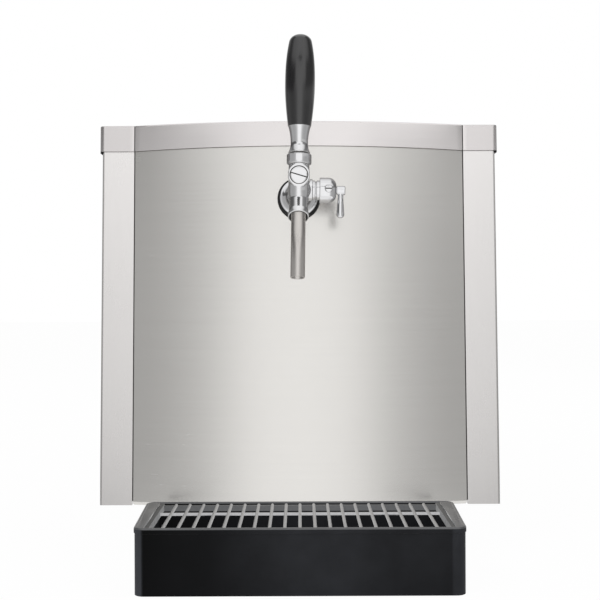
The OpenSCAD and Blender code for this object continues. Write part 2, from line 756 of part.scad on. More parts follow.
hot_x = compressor_x + compressor_r + 6;
coil_left = condenser_x - condenser_w / 2 - 6;
tube_y = condenser_y + condenser_t / 2;
tube_top = condenser_z + condenser_h * (tube_rows - 0.5) / tube_rows;
tube_low = condenser_z + condenser_h * 0.5 / tube_rows;
module discharge_line() pipe([
    [hot_x, compressor_y, discharge_z],
    [hot_x + 18, compressor_y, discharge_z],
    [hot_x + 18, compressor_y, tube_top],
    [hot_x + 18, tube_y, tube_top],
    [coil_left, tube_y, tube_top]], 6, 8);

module liquid_line() {
    pipe([
        [coil_left, tube_y, tube_low],
        [dryer_at[0], tube_y, tube_low],
        [dryer_at[0], dryer_at[1], tube_low],
        [dryer_at[0], dryer_at[1], dryer_z]], 5, 7);
    pipe([
        [dryer_at[0], dryer_at[1], dryer_z + dryer_h],
        [dryer_at[0], dryer_at[1], line_z],
        [evap_in[0], dryer_at[1], line_z],
        [evap_in[0], evap_in[1], line_z],
        [evap_in[0], evap_in[1], riser_top]], 4, 8);
}

module refrigerant_lines() color(copper) in_place() {
    suction_line();
    discharge_line();
    liquid_line();
}

// Controls on the back
thermostat_size = [44, 30, 34];
module thermostat() color([0.3, 0.3, 0.32]) in_place() difference() {
    union() {
        translate([knob_x, inner_back - thermostat_size[1] / 2 - 3, control_z])
            cube(thermostat_size, center = true);
        translate([knob_x, inner_back, control_z]) rotate([90, 0, 0]) cylinder(d = 14, h = 4);
    }
    translate([knob_x, inner_back + cut, control_z]) rotate([90, 0, 0])
        cylinder(r = knob_shaft / 2 + run, h = 14);
}
knob_d = 32;
knob_h = 16;
module thermostat_knob() color(dark) in_place() translate([knob_x, body_d + fit, control_z])
    rotate([-90, 0, 0]) {
    difference() {
        rotate_extrude() {
            square([knob_d / 2, 3]);
            square([knob_d / 2 - 2, knob_h - 2]);
            square([knob_d / 2 - 4, knob_h]);
            translate([knob_d / 2 - 4, knob_h - 2]) circle(2);
        }
        for (a = [0 : 20 : 340]) rotate([0, 0, a])
            translate([knob_d / 2 - 1.2, 0, 4.5]) cylinder(r = 1.4, h = knob_h);
        translate([-0.8, 3, knob_h - 1]) cube([1.6, knob_d / 2 - 9, 2]);
    }
    translate([0, 0, -12]) cylinder(d = knob_shaft, h = 12.5);
}

rocker_w = 13;
rocker_l = 21;
rocker_tilt = 7;
rocker_r = 26;
rocker_deep = 8;
module power_switch() color(dark) in_place() translate([switch_x, body_d, control_z]) difference() {
    union() {
        translate([-switch_size[0] / 2 + run, -22, -switch_size[1] / 2 + run])
            cube([switch_size[0] - 2 * run, 22, switch_size[1] - 2 * run]);
        translate([-switch_size[0] / 2 - 3, 2.2, -switch_size[1] / 2 - 3]) rotate([90, 0, 0])
            linear_extrude(2.2) round_rect([switch_size[0] + 6, switch_size[1] + 6], 3);
    }
    translate([-rocker_w / 2 - fit, -13, -rocker_l / 2 - 1]) cube([rocker_w + 2 * fit, 20, rocker_l + 2]);
}
// The rocker turns about its round back
module rocker() color([0.1, 0.1, 0.1]) in_place() translate([switch_x, body_d - rocker_deep, control_z])
    rotate([rocker_tilt, 0, 0]) translate([-rocker_w / 2, 0, 0]) rotate([90, 0, 90])
    linear_extrude(rocker_w) difference() {
        union() {
            translate([0, -rocker_l / 2 + 1]) square([rocker_deep + 3.5, rocker_l - 2]);
            circle(4);
        }
        translate([rocker_r + rocker_deep + 1.2, 0]) circle(rocker_r);
    }

module mains_inlet() color(dark) in_place() translate([switch_x, body_d, mains_z]) {
    for (x = [-7, 0, 7]) translate([x - 1, -15, x == 0 ? -1 : -5]) cube([2, 10, 4]);
    difference() {
        union() {
            translate([-mains_size[0] / 2 + run, -20, -mains_size[1] / 2 + run])
                cube([mains_size[0] - 2 * run, 20, mains_size[1] - 2 * run]);
            translate([-24, 3.5, -14]) rotate([90, 0, 0]) linear_extrude(3.5) round_rect([48, 28], 4);
        }
        rotate([90, 0, 0]) translate([0, 0, -6]) linear_extrude(20)
            polygon([[-12, -8], [12, -8], [12, 4], [8, 8], [-8, 8], [-12, 4]]);
        for (side = [-1, 1]) translate([side * 20, -cut, 0]) rotate([-90, 0, 0]) cylinder(d = 3.4, h = 6);
    }
}

// Beer way in
inlet_thread = 14;
inlet_in = 22;
module beer_inlet() color(bright) in_place() translate([inlet_x, inner_back, inlet_z]) rotate([-90, 0, 0])
    difference() {
        union() {
            translate([0, 0, -inlet_in]) cylinder(d = inlet_thread, h = inlet_in + sheet + 3);
            translate([0, 0, -6]) cylinder(d = 22, h = 6, $fn = 6);
            translate([0, 0, sheet]) cylinder(d = 24, h = 6, $fn = 6);
            translate([0, 0, sheet]) cylinder(d = stub_d, h = inlet_reach);
        }
        translate([0, 0, -inlet_in - cut]) cylinder(d = stub_d - 3, h = inlet_in + inlet_reach + 3 * cut);
        translate([0, 0, -inlet_in - cut]) cylinder(r = line_d / 2 + run, h = 9);
    }
line_d = 9.5;
// Where the line turns towards the inlet
line_turn = inner_back - inlet_in - 98;
module beer_line_in() color([0.85, 0.86, 0.84]) in_place() pipe([
    [beer_in[0], beer_in[1], riser_top],
    [beer_in[0], beer_in[1], inlet_z],
    [beer_in[0], line_turn, inlet_z],
    [inlet_x, line_turn, inlet_z],
    [inlet_x, inner_back - inlet_in + 8, inlet_z]], line_d, 14);

// Drain
drain_out = 16;
drain_in = bath_y + bath_deep / 2 - 2;
module drain_stub() color(bright) in_place() translate([drain_x, drain_in, drain_z]) rotate([-90, 0, 0])
    difference() {
        cylinder(d = drain_d, h = body_d + drain_out - drain_in);
        translate([0, 0, -cut]) cylinder(d = drain_d - 3, h = body_d);
    }
module drain_cap() color(dark) in_place() translate([drain_x, body_d + 3, drain_z]) rotate([-90, 0, 0])
    difference() {
        rotate_extrude() {
            square([drain_d / 2 + 2, drain_out]);
            square([drain_d / 2 + 4, 3]);
        }
        translate([0, 0, -cut]) cylinder(r = drain_d / 2 + run, h = drain_out - 3 + fit + cut);
    }

// Tap, drawn from the panel's middle: minus Y points out and Z points up the panel
module tap_frame() leaning() translate([0, -bow, tap_h]) rotate([0, tap_roll, 0]) children();
module outward(out) translate([0, -out, 0]) rotate([90, 0, 0]) children();
module rightward(x) translate([x, 0, 0]) rotate([0, 90, 0]) children();

gasket_t = 2.6;
gasket_drop = 0.9;
rosette_h = 9.6;
rosette_rim = 1.6;
rosette_flank = rosette_h - rosette_rim;
barrel_r = barrel_d / 2;
shank_r = shank_d / 2;
shank_in = 46;
shank_out = gasket_t + rosette_h + 6;
barrel_out = gasket_t + rosette_h;
gasket_hole = shank_r + gasket_drop + run;
module tap_gasket() color(rubber) tap_frame() translate([0, 0, -gasket_drop]) outward(0.02)
    rotate_extrude() {
        translate([gasket_hole, 0]) square([gasket_d / 2 - 1 - gasket_hole, gasket_t]);
        translate([gasket_hole + 1, 0]) square([gasket_d / 2 - gasket_hole - 1, gasket_t - 1]);
        translate([gasket_d / 2 - 1, gasket_t - 1]) circle(1);
    }
module rosette() color(bright) tap_frame() outward(gasket_t + 0.04) rotate_extrude() difference() {
    translate([shank_r + run, 0]) square([rosette_d / 2 - shank_r - run, rosette_h - 0.04]);
    translate([rosette_d / 2 + 0.6, rosette_h]) circle(rosette_flank);
}
module shank() color(bright) tap_frame() outward(-shank_in) rotate_extrude() difference() {
    translate([shank_bore / 2, 0]) square([shank_r - shank_bore / 2, shank_in + shank_out]);
    translate([0, -cut]) square([line_d / 2 + run, line_grip + cut]);
}
module shank_nut() color(bright) tap_frame() {
    difference() {
        union() {
            outward(-sheet - 11) cylinder(d = 28, h = 9, $fn = 6);
            outward(-sheet - 2.2) cylinder(d = 30, h = 1.8);
        }
        outward(-sheet - 12) cylinder(r = shank_r + run, h = 14);
    }
}

plug_h = 11.5;
boss_w = 21.2;
boss_out = 70.5;
boss_in = 42;
boss_rise = 1;
collar_z = 23.6;
pivot_h = 21.5;
pin_d = 3;
ball_r = 6;
finger = 9.5;
finger_r = 2.1;
tip_r = 3;
bore_r = 6;
seat_r = 4.7;
seat_out = 50.2;
seat_land = 1.2;
spout_at = [58, 0];
spout_boss_d = 18.8;
spout_lip_d = 20.7;
spout_boss_l = 25.9;
spout_grip = 10;
comp_out = 40;
comp_up = 1.5;
comp_boss_d = 22;
comp_boss_x = 13.8;
chamber_r = 7;
chamber_end = 50;
port_out = 46;
module spout_axis(down) translate([0, -spout_at[0], spout_at[1]]) rotate([180 - spout_tilt, 0, 0])
    translate([0, 0, down]) children();
module comp_axis() translate([0, -comp_out, comp_up]) rotate([0, 90, 0]) children();

module tap_body() color(bright) tap_frame() difference() {
    union() {
        outward(barrel_out) cylinder(d = barrel_d, h = 50 - barrel_out);
        outward(barrel_out) cylinder(d1 = barrel_d - 1, d2 = barrel_d + 1.6, h = 2);
        outward(barrel_out + 2) cylinder(d = barrel_d + 1.6, h = 3);
        translate([0, -50, 0]) sphere(barrel_r);
        translate([0, -tap_reach, -4]) cylinder(d = neck_d, h = collar_z + 4);
        translate([0, -tap_reach, -4]) sphere(neck_d / 2);
        for (rise = [-boss_rise, boss_rise]) translate([0, 0, plug_h + rise]) outward(boss_in)
            cylinder(d = boss_w, h = boss_out - boss_in);
        translate([-boss_w / 2, -boss_out, plug_h - boss_rise])
            cube([boss_w, boss_out - boss_in, 2 * boss_rise]);
        translate([0, -boss_in, plug_h]) sphere(boss_w / 2);
        spout_axis(0) cylinder(d = spout_boss_d, h = spout_boss_l - 3);
        spout_axis(spout_boss_l - 3) cylinder(d1 = spout_boss_d, d2 = spout_lip_d, h = 2);
        spout_axis(spout_boss_l - 1) cylinder(d = spout_lip_d, h = 1);
        comp_axis() cylinder(d = comp_boss_d - 2, h = comp_boss_x);
        comp_axis() translate([0, 0, comp_boss_x - 4]) cylinder(d = comp_boss_d, h = 4);
    }
    // Shank seat and the compensator's chamber
    outward(barrel_out - cut) cylinder(r = shank_r + run, h = shank_out - barrel_out + cut + run);
    outward(shank_out - cut) cylinder(r = chamber_r, h = chamber_end - shank_out + cut);
    comp_axis() cylinder(r = 6.5, h = comp_boss_x + cut);
    // Port up to the valve, valve bore and plug seat
    translate([0, -port_out + 3.5, 0]) cylinder(r = 3, h = plug_h);
    translate([0, 0, plug_h]) {
        outward(boss_in - cut) cylinder(r = bore_r + 0.4, h = seat_out - boss_in + cut);
        outward(seat_out - cut) cylinder(r = seat_r, h = 6);
        outward(seat_out + seat_land) cylinder(r = bore_r, h = boss_out);
        outward(boss_out - 4.4) cylinder(r = 7.05, h = 6);
        outward(boss_out - 2.2) cylinder(r = plug_d / 2 + 0.45, h = 3);
    }
    // Seat of the lever's ball, with room for its finger
    translate([0, -tap_reach, pivot_h]) {
        sphere(ball_r + run);
        cylinder(r = ball_r + run, h = 4);
    }
    translate([0, -tap_reach, pivot_h]) rotate([90, 0, -90]) translate([0, 0, -tip_r - fit])
        linear_extrude(2 * (tip_r + fit)) polygon([[tip_r + fit, 0], [tip_r + fit, -finger],
            [-(tip_r + fit + finger * tan(pour_angle)), -finger], [-(tip_r + fit), 0]]);
    translate([0, -tap_reach, pivot_h]) rotate([0, 90, 0])
        cylinder(r = pin_d / 2 + 0.02, h = neck_d + 2, center = true);
    // Spout socket and the way from the valve
    spout_axis(-plug_h / cos(spout_tilt)) cylinder(r = 4.5, h = 20);
    spout_axis(spout_boss_l - spout_grip) cylinder(r = spout_d / 2 + run, h = spout_grip + cut);
    spout_axis(spout_boss_l - 2.6) cylinder(r = spout_d / 2 + 1.7, h = 4);
}

module front_plug() color(bright) tap_frame() translate([0, 0, plug_h]) difference() {
    union() {
        outward(boss_out - 4.2) cylinder(r = 7, h = 3);
        outward(boss_out - 2.1) cylinder(d = plug_d, h = 1.4);
        outward(boss_out - 0.7) cylinder(d1 = plug_d, d2 = plug_d - 1, h = 0.5);
    }
    translate([0, -boss_out, 0]) rotate([0, 16, 0]) translate([-plug_d, -cut, -0.6])
        cube([2 * plug_d, 2.2, 1.2]);
}

ferrule_z = collar_z + collar_h;
ferrule_foot = 10.9;
stem_r = 3.25;
stem_grip = 16;
cup_r = norm([ferrule_foot, ferrule_z + fit - pivot_h]) - 0.6;
mouth_r = (ferrule_z - pivot_h) * tan(pour_angle) + stem_r / cos(pour_angle) + fit;
module collar_nut() color(bright) tap_frame() translate([0, -tap_reach, 0]) difference() {
    intersection() {
        translate([0, 0, collar_z]) rotate_extrude() {
            translate([0, 1.2]) square([collar_d / 2, collar_h]);
            square([collar_d / 2 - 1.2, collar_h]);
            translate([collar_d / 2 - 1.2, 1.2]) circle(1.2);
        }
        translate([0, 0, pivot_h]) sphere(cup_r - fit);
        translate([0, 0, collar_z]) cylinder(d = 2 * collar_d, h = collar_h);
    }
    translate([0, 0, pivot_h]) {
        sphere(ball_r + run);
        cylinder(r1 = stem_r + 1.5, r2 = mouth_r, h = ferrule_z - pivot_h + 0.01);
        translate([0, 0, ferrule_z - pivot_h]) cylinder(r = mouth_r, h = cut);
    }
    // Key flats
    for (a = [0 : 60 : 300]) rotate([0, 0, a + 30]) translate([collar_d / 2 - 0.35, -3.4, collar_z + 2.2])
        cube([2, 6.8, collar_h - 5]);
}

module lever_stem() color(bright) tap_frame() translate([0, -tap_reach, 0]) difference() {
    union() {
        translate([0, 0, pivot_h]) sphere(ball_r);
        translate([0, 0, pivot_h - finger]) cylinder(r = finger_r, h = finger);
        translate([0, 0, pivot_h - finger]) sphere(tip_r);
        translate([0, 0, pivot_h]) cylinder(r = stem_r, h = ferrule_z + ferrule_h + stem_grip - pivot_h);
    }
    translate([0, 0, pivot_h]) rotate([0, 90, 0])
        cylinder(r = pin_d / 2 + run, h = 4 * ball_r, center = true);
}
module lever_pin() color(bright) tap_frame() translate([0, -tap_reach, pivot_h]) rotate([0, 90, 0])
    cylinder(d = pin_d, h = neck_d - 0.6, center = true);

ferrule_neck = 8.6;
module ferrule() color(bright) tap_frame() translate([0, -tap_reach, 0]) difference() {
    foot_z = ferrule_z + fit;
    top = ferrule_h - fit;
    waist = top * 0.36;
    low_r = arc_radius(waist, ferrule_foot - ferrule_neck);
    high_r = arc_radius(top - waist, handle_foot_d / 2 - 0.4 - ferrule_neck);
    translate([0, 0, foot_z]) rotate_extrude() difference() {
        square([handle_foot_d / 2 + 2, top]);
        intersection() {
            translate([ferrule_neck + low_r, waist]) circle(low_r);
            translate([0, -cut]) square([handle_d, waist + cut]);
        }
        intersection() {
            translate([ferrule_neck + high_r, waist]) circle(high_r);
            translate([0, waist]) square([handle_d, top]);
        }
        translate([max(ferrule_foot, handle_foot_d / 2 - 0.4), -cut]) square([handle_d, top + 2 * cut]);
    }
    translate([0, 0, pivot_h]) sphere(cup_r);
    cylinder(r = stem_r + run, h = ferrule_z + ferrule_h + cut);
}

handle_z = ferrule_z + ferrule_h;
// Outline of the handle: widest at handle_mid, with a round top above handle_top
handle_mid = 0.46;
handle_top = 0.92;
handle_taper = 0.35;
function handle_dome(t) = t < handle_top ? 1 : sqrt(max(0, 1 - pow((t - handle_top) / (1 - handle_top), 2)));
function handle_r(t) = t < handle_mid
    ? handle_foot_d / 2 + (handle_d - handle_foot_d) / 2 * sin(90 * t / handle_mid)
    : handle_d / 2 * (1 - handle_taper * pow((t - handle_mid) / (1 - handle_mid), 2.5)) * handle_dome(t);
handle_steps = [for (i = [0 : 11]) handle_mid * i / 12,
    for (i = [0 : 11]) handle_mid + (handle_top - handle_mid) * i / 12,
    for (i = [0 : 8]) handle_top + (1 - handle_top) * sin(90 * i / 8)];
module handle() color(dark) tap_frame() translate([0, -tap_reach, handle_z]) difference() {
    rotate_extrude() polygon(concat([[0, 0], [handle_foot_d / 2 - 0.5, 0]],
        [for (t = handle_steps) [handle_r(t), max(0.5, t * handle_h)]]));
    translate([0, 0, -cut]) cylinder(r = stem_r + run, h = stem_grip + 1.5 + cut);
}

piston_back = 46.2;
piston_tail = 4.8;
module piston() color([0.9, 0.9, 0.88]) tap_frame() translate([0, 0, plug_h]) difference() {
    union() {
        outward(piston_back) cylinder(r = 4.4, h = 2);
        outward(piston_back + 1.9) cylinder(r = 2.6, h = 8);
        outward(tap_reach - piston_tail) cylinder(r = bore_r - run, h = piston_tail + 5);
    }
    // Flat under the ball, and the slot for the finger's tip
    translate([-bore_r, -tap_reach - bore_r, pivot_h - ball_r - plug_h - 0.8])
        cube([2 * bore_r, 2 * bore_r, bore_r]);
    translate([-bore_r, -tap_reach - tip_r - fit, pivot_h - finger - tip_r - 0.8 - plug_h])
        cube([2 * bore_r, 2 * (tip_r + fit), 2 * bore_r]);
}
module piston_seal() color(rubber) tap_frame() translate([0, 0, plug_h]) outward(piston_back + 2)
    rotate_extrude() difference() {
        translate([2.6 + run, 0]) square([bore_r - 2.6 - 3 * run, 1.9]);
        translate([bore_r + 0.5, 0.95]) circle(0.9);
    }

comp_seat = 20.7;
comp_end = 37.7;
comp_round = 8;
comp_r = comp_d / 2;
eccentric = 3;
comp_shaft = 6;
dial_x = 29.8;
module compensator_housing() color(bright) tap_frame() difference() {
    comp_axis() rotate_extrude() difference() {
        union() {
            translate([0, comp_boss_x - 4.5]) square([6.45, 6.5]);
            translate([0, comp_boss_x + 0.02]) square([9.75, comp_seat - comp_boss_x]);
            translate([0, comp_seat + 0.8]) square([comp_r, comp_end - comp_seat - comp_round - 0.8]);
            translate([0, comp_seat]) square([comp_r - 0.8, comp_end - comp_seat - comp_round]);
            translate([comp_r - 0.8, comp_seat + 0.8]) circle(0.8);
            translate([0, comp_seat]) square([comp_r - comp_round, comp_end - comp_seat]);
            intersection() {
                translate([comp_r - comp_round, comp_end - comp_round]) circle(comp_round);
                translate([0, comp_seat]) square(comp_r);
            }
        }
        translate([9.75, comp_boss_x + 3.2]) circle(1);
    }
    comp_axis() cylinder(r = comp_shaft / 2 + run, h = 60);
    translate([dial_x, -comp_out, comp_up]) outward(comp_r - 3.4) cylinder(r = 4.05, h = 6);
}
module compensator_screw() color(bright) tap_frame() translate([dial_x, -comp_out, comp_up]) difference() {
    outward(comp_r - 3.35) rotate_extrude() {
        square([4, 2.6]);
        square([3.4, 3.4]);
        translate([3.3, 2.7]) circle(0.7);
    }
    translate([-2.8, -comp_r - 1.2, -0.6]) cube([5.6, 2, 1.2]);
}

hub_d = 9.2;
hub_x = comp_end + fit;
hub_end = 46.6;
lever_x = 41.9;
module compensator_lever() color(bright) tap_frame() {
    comp_axis() rotate_extrude() {
        translate([0, hub_x]) square([hub_d / 2 - 1, hub_end - hub_x]);
        translate([0, hub_x]) square([hub_d / 2, hub_end - hub_x - 1]);
        translate([hub_d / 2 - 1, hub_end - 1]) circle(1);
        translate([0, chamber_r + fit]) square([comp_shaft / 2, hub_x - chamber_r]);
    }
    // Eccentric pin that shifts the cone
    translate([0, -comp_out, comp_up - eccentric]) rightward(0.4)
        cylinder(r = pin_d / 2, h = chamber_r + fit + 0.6);
    translate([0, -comp_out, comp_up]) rightward(chamber_r + fit) cylinder(r = 4.6, h = 1.6);
    translate([lever_x, -comp_out, comp_up]) rotate([180, 0, 0]) {
        end_r = 3.95;
        cylinder(r1 = 2.3, r2 = end_r, h = comp_lever - end_r);
        translate([0, 0, comp_lever - end_r]) sphere(end_r);
        cylinder(r1 = 3.6, r2 = 2.4, h = 7);
    }
}
groove = 4.1;
module compensator_cone() color([0.92, 0.91, 0.86]) tap_frame() difference() {
    union() {
        outward(comp_out - 15) cylinder(r1 = 3.2, r2 = 4.6, h = 6);
        outward(comp_out - 9.01) cylinder(r = 4.6, h = 15);
    }
    // Groove that takes the eccentric pin
    translate([-0.6, -comp_out - groove / 2, comp_up - 10]) cube([12, groove, 20]);
}

module spout_tube() color(bright) tap_frame() spout_axis(spout_boss_l - spout_grip + run) difference() {
    cylinder(d = spout_d, h = spout_grip + spout_len);
    translate([0, 0, -cut]) cylinder(d = spout_d - 2 * spout_wall, h = spout_grip + spout_len + 2 * cut);
}
module spout_seal() color(rubber) tap_frame() spout_axis(spout_boss_l - 1.6) rotate_extrude()
    translate([spout_d / 2 + 0.84, 0]) circle(0.8);

// A point on the shank's axis, inside the cabinet
function tail_point(inside) = [0, (inside - bow) * cos(lean) + tap_h * sin(lean),
    leg_h + tap_h * cos(lean) - (inside - bow) * sin(lean)];

// The line runs level into a coupling on the leaning tail
line_grip = 13;
couple_in = shank_in + 12;
module beer_line_out() color([0.85, 0.86, 0.84]) {
    tap_frame() {
        outward(2 - couple_in) cylinder(d = line_d, h = couple_in - 2 - shank_in + line_grip);
        outward(-couple_in - 8) cylinder(d = line_d + 4, h = 16);
    }
    at = tail_point(couple_in);
    in_place() pipe([
        [beer_out[0], beer_out[1], riser_top],
        [beer_out[0], beer_out[1], at[2]],
        at], line_d, 10);
}

// Drip tray

tray_back = -bow - tray_gap;
tray_front = tray_back - tray_d;
tray_r = 10;
tray_floor = 5.4;
tray_lift = 0.4;
rim_h = 5.4;
rim_out = 0.7;
tongue_w = 25;
tongue_t = 2.5;
tongue_x = 88;
// Rounded plan of the tray, shrunk by a wall
module tray_plan(inset) {
    r = max(tray_r - inset, 1);
    f = tray_w / 2 - inset;
    b = tray_w / 2 + tray_flare - inset;
    lo = tray_front + inset;
    hi = tray_back - inset;
    tilt = atan(tray_flare / tray_d);
    fx = f - r / cos(tilt) - r * tan(tilt) + 2 * r * tan(tilt);
    bx = b - r / cos(tilt) - r * tan(tilt);
    n = [r * cos(tilt), -r * sin(tilt)];
    for (s = [-1, 1]) {
        translate([s * fx, lo + r]) circle(r);
        translate([s * bx, hi - r]) circle(r);
    }
    polygon([[fx, lo], [fx + n[0], lo + r + n[1]], [bx + n[0], hi - r + n[1]], [bx, hi],
        [-bx, hi], [-bx - n[0], hi - r + n[1]], [-fx - n[0], lo + r + n[1]], [-fx, lo]]);
}
module drip_tray() color(dark) in_place() difference() {
    union() {
        translate([0, 0, tray_lift]) linear_extrude(tray_h - tray_lift) tray_plan(rim_out);
        translate([0, 0, tray_h - rim_h]) linear_extrude(rim_h) tray_plan(0);
    }
    // Inside, down to the floor, with a ledge for the grille
    inside = rim_out + tray_wall;
    translate([0, 0, tray_floor + tray_wall]) linear_extrude(tray_h) tray_plan(inside + ledge_w);
    translate([0, 0, ledge_z]) linear_extrude(tray_h) tray_plan(inside);
    // Hollow underside, with notches for the tongues
    translate([0, 0, tray_lift - cut]) linear_extrude(tray_floor - tray_lift + cut) tray_plan(inside);
    for (s = [-1, 1]) translate([s * tongue_x - tongue_w / 2 - 1, tray_back - 2 * tray_wall - 2, -cut])
        cube([tongue_w + 2, 2 * tray_wall + 4, tray_floor + cut]);
}

ledge_w = 4;
grille_h = wire_d + 4;
grille_top = tray_h - 1.2;
ledge_z = grille_top - grille_h - fit;
bar_w = 3.6;
wire_n = 2 * floor((tray_w / 2 - 2 * tray_wall - bar_w - 8) / wire_pitch) + 1;
grille_x = tray_w / 2 - rim_out - tray_wall - 6;
grille_gap = 1.6;
grille_lo = tray_front + rim_out + tray_wall + grille_gap;
grille_hi = tray_back - rim_out - tray_wall - grille_gap;
module drip_grille() color([0.35, 0.35, 0.36]) in_place() {
    wire_z = grille_top - wire_d / 2;
    for (i = [0 : wire_n - 1]) translate([(i - (wire_n - 1) / 2) * wire_pitch, grille_lo + 0.6, wire_z])
        rotate([-90, 0, 0]) cylinder(d = wire_d, h = grille_hi - grille_lo - 1.2);
    deep = grille_hi - grille_lo;
    for (s = [-1, 1]) translate([s * (grille_x - bar_w / 2) - bar_w / 2, grille_lo, grille_top - grille_h])
        cube([bar_w, deep, grille_h]);
    for (y = [grille_lo, grille_hi - bar_w]) translate([-grille_x, y, grille_top - grille_h])
        cube([2 * grille_x, bar_w, grille_h - wire_d / 2]);
    for (t = [0.28, 0.64]) translate([bar_w / 2 - grille_x, grille_hi - t * deep, wire_z - wire_d + 0.4])
        rotate([0, 90, 0]) cylinder(d = wire_d, h = 2 * grille_x - bar_w);
}

bracket_y = 5;
bracket_shelf = 30;
tongue_z = tray_floor - fit - tongue_t;
tongue_l = 72;
bracket_w = 2 * tongue_x + tongue_w;
module tray_bracket() color(steel) in_place() {
    for (s = [-1, 1]) translate([s * tongue_x - tongue_w / 2, 0, tongue_z]) {
        translate([0, tray_back - tongue_l, 0])
            cube([tongue_w, bracket_y + tongue_t + tongue_l - tray_back, tongue_t]);
        translate([0, bracket_y, 0]) cube([tongue_w, tongue_t, pan_z - tongue_z]);
    }
    translate([-bracket_w / 2, bracket_y, pan_z - tongue_t]) cube([bracket_w, bracket_shelf, tongue_t]);
}

base_pan();
legs();
foot_pads();
side_wall_left();
side_wall_right();
front_panel();
seam_seals();
rear_panel();
panel_screws();
lid();
lid_seal();
bath_insulation();
bath_tank();
bath_cover();
filler_cap();
evaporator_coil();
beer_coil();
agitator_motor();
agitator_shaft();
compressor();
compressor_mounts();
condenser();
fan_shroud();
fan_motor();
fan_blade();
filter_dryer();
refrigerant_lines();
thermostat();
thermostat_knob();
power_switch();
rocker();
mains_inlet();
beer_inlet();
beer_line_in();
beer_line_out();
drain_stub();
drain_cap();
tap_gasket();
rosette();
shank();
shank_nut();
tap_body();
front_plug();
collar_nut();
lever_stem();
lever_pin();
ferrule();
handle();
piston();
piston_seal();
compensator_housing();
compensator_screw();
compensator_lever();
compensator_cone();
spout_tube();
spout_seal();
drip_tray();
drip_grille();
tray_bracket();
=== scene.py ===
"""Countertop draft beer cooler: sheet-steel cabinet with a bowed front, one
compensator tap, a drip tray and its grille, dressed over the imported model.

The frame is the model's: X to the right, Y to the back, Z up, with the
origin on the counter. Blender works in metres. The sizes below, the profiles
and what shift and block take are millimetres, and MM turns them into metres.
"""

import json
import math

import bpy
from mathutils import Matrix, Vector


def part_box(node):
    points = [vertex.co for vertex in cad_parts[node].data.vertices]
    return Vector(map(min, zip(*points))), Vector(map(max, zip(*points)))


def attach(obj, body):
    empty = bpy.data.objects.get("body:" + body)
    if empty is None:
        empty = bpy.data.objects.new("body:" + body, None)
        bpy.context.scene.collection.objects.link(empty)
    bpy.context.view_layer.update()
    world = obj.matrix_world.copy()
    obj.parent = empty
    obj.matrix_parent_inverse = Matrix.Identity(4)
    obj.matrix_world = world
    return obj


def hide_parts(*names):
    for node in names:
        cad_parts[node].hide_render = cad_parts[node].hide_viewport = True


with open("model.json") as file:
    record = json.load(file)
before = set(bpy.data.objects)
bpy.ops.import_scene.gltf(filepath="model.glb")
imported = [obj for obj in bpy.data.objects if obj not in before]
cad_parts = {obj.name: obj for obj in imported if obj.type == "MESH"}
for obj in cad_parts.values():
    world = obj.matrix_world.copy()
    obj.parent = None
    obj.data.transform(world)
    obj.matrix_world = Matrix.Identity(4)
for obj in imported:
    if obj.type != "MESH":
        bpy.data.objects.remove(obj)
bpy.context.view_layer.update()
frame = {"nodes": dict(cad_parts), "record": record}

bl_info = {
    "name": "Draft Beer Cooler",
    "version": (1, 0, 0),
    "blender": (4, 5, 0),
    "location": "View3D > Sidebar > Beer Cooler",
    "description": "Models and finishes a countertop draft beer cooler",
    "category": "Object",
}

MM = 0.001

# The model's own sizes that the dressed pieces follow, in millimetres and degrees
FRONT_Y = -149.5
LEG_H = 52.4
LEAN = 3.7
BOW = 27.0
TAP_H = 319.5
TAP_ROLL = 0.9
REACH = 60.0
PLUG_H = 11.5
PIVOT_H = 21.5
COLLAR_Z = 23.6
COLLAR_H = 11.3
COLLAR_TOP = COLLAR_Z + COLLAR_H
FERRULE_H = 26.4
HANDLE_H = 92.6
HANDLE_D = 29.6
HANDLE_FOOT_D = 23.1
NECK_D = 20.6
BARREL_D = 23.0
BARREL_NUT_D = 24.6
BOSS_W = 21.2
BOSS_OUT = 70.5
BOSS_IN = 42.0
PLUG_D = 16.9
SPOUT_OUT = 58.0
SPOUT_TILT = 9.6
SPOUT_BOSS_D = 18.8
SPOUT_LIP_D = 20.7
SPOUT_BOSS_L = 25.9
SPOUT_D = 14.2
SPOUT_LEN = 65.0
SOCKET_DEPTH = 10.0
COMP_OUT = 40.0
COMP_UP = 1.5
COMP_D = 25.4
COMP_BOSS_D = 22.0
COMP_BOSS_X = 13.8
COMP_SEAT = 20.7
COMP_END = 37.7
COMP_LEVER = 28.0
LEVER_X = 41.9
DIAL_X = 29.8
ROSETTE_D = 39.0
ROSETTE_H = 9.6
GASKET_D = 44.5
GASKET_T = 2.6
GASKET_DROP = 0.9
SHANK_D = 16.0
SHANK_OUT = GASKET_T + ROSETTE_H + 6
STEM_R = 3.25
STEM_GRIP = 16.0
BALL_R = 6.0
PIN_D = 3.0
POUR = 22.0

# Gaps in millimetres: between a bore and what fills it, and between faces that pass
# each other
RUN = 0.05
FIT = 0.3

# Sizes of the dressed pieces alone, in millimetres and degrees
FERRULE_FOOT_R = 10.9
FERRULE_WAIST_R = 8.6
CUP_RIM = 0.6
SEAT_GAP = 0.75
MOUTH_TILT = 20.0
MOUTH_DROP = 7.0
# Height of the black strip of painted shade under the lid's rim
SHADE_STRIP_H = 1.5

# Angle in degrees from which an edge counts as sharp
SHARP = 35.0


# Places on the tap


def shift(x, y, z):
    return Matrix.Translation((x * MM, y * MM, z * MM))


def turn(degrees, axis):
    return Matrix.Rotation(math.radians(degrees), 4, axis)


def tap_frame():
    return (
        shift(0, FRONT_Y, LEG_H)
        @ turn(-LEAN, "X")
        @ shift(0, -BOW, TAP_H)
        @ turn(TAP_ROLL, "Y")
    )


def outward(out, up=0.0):
    return tap_frame() @ shift(0, -out, up) @ turn(90, "X")


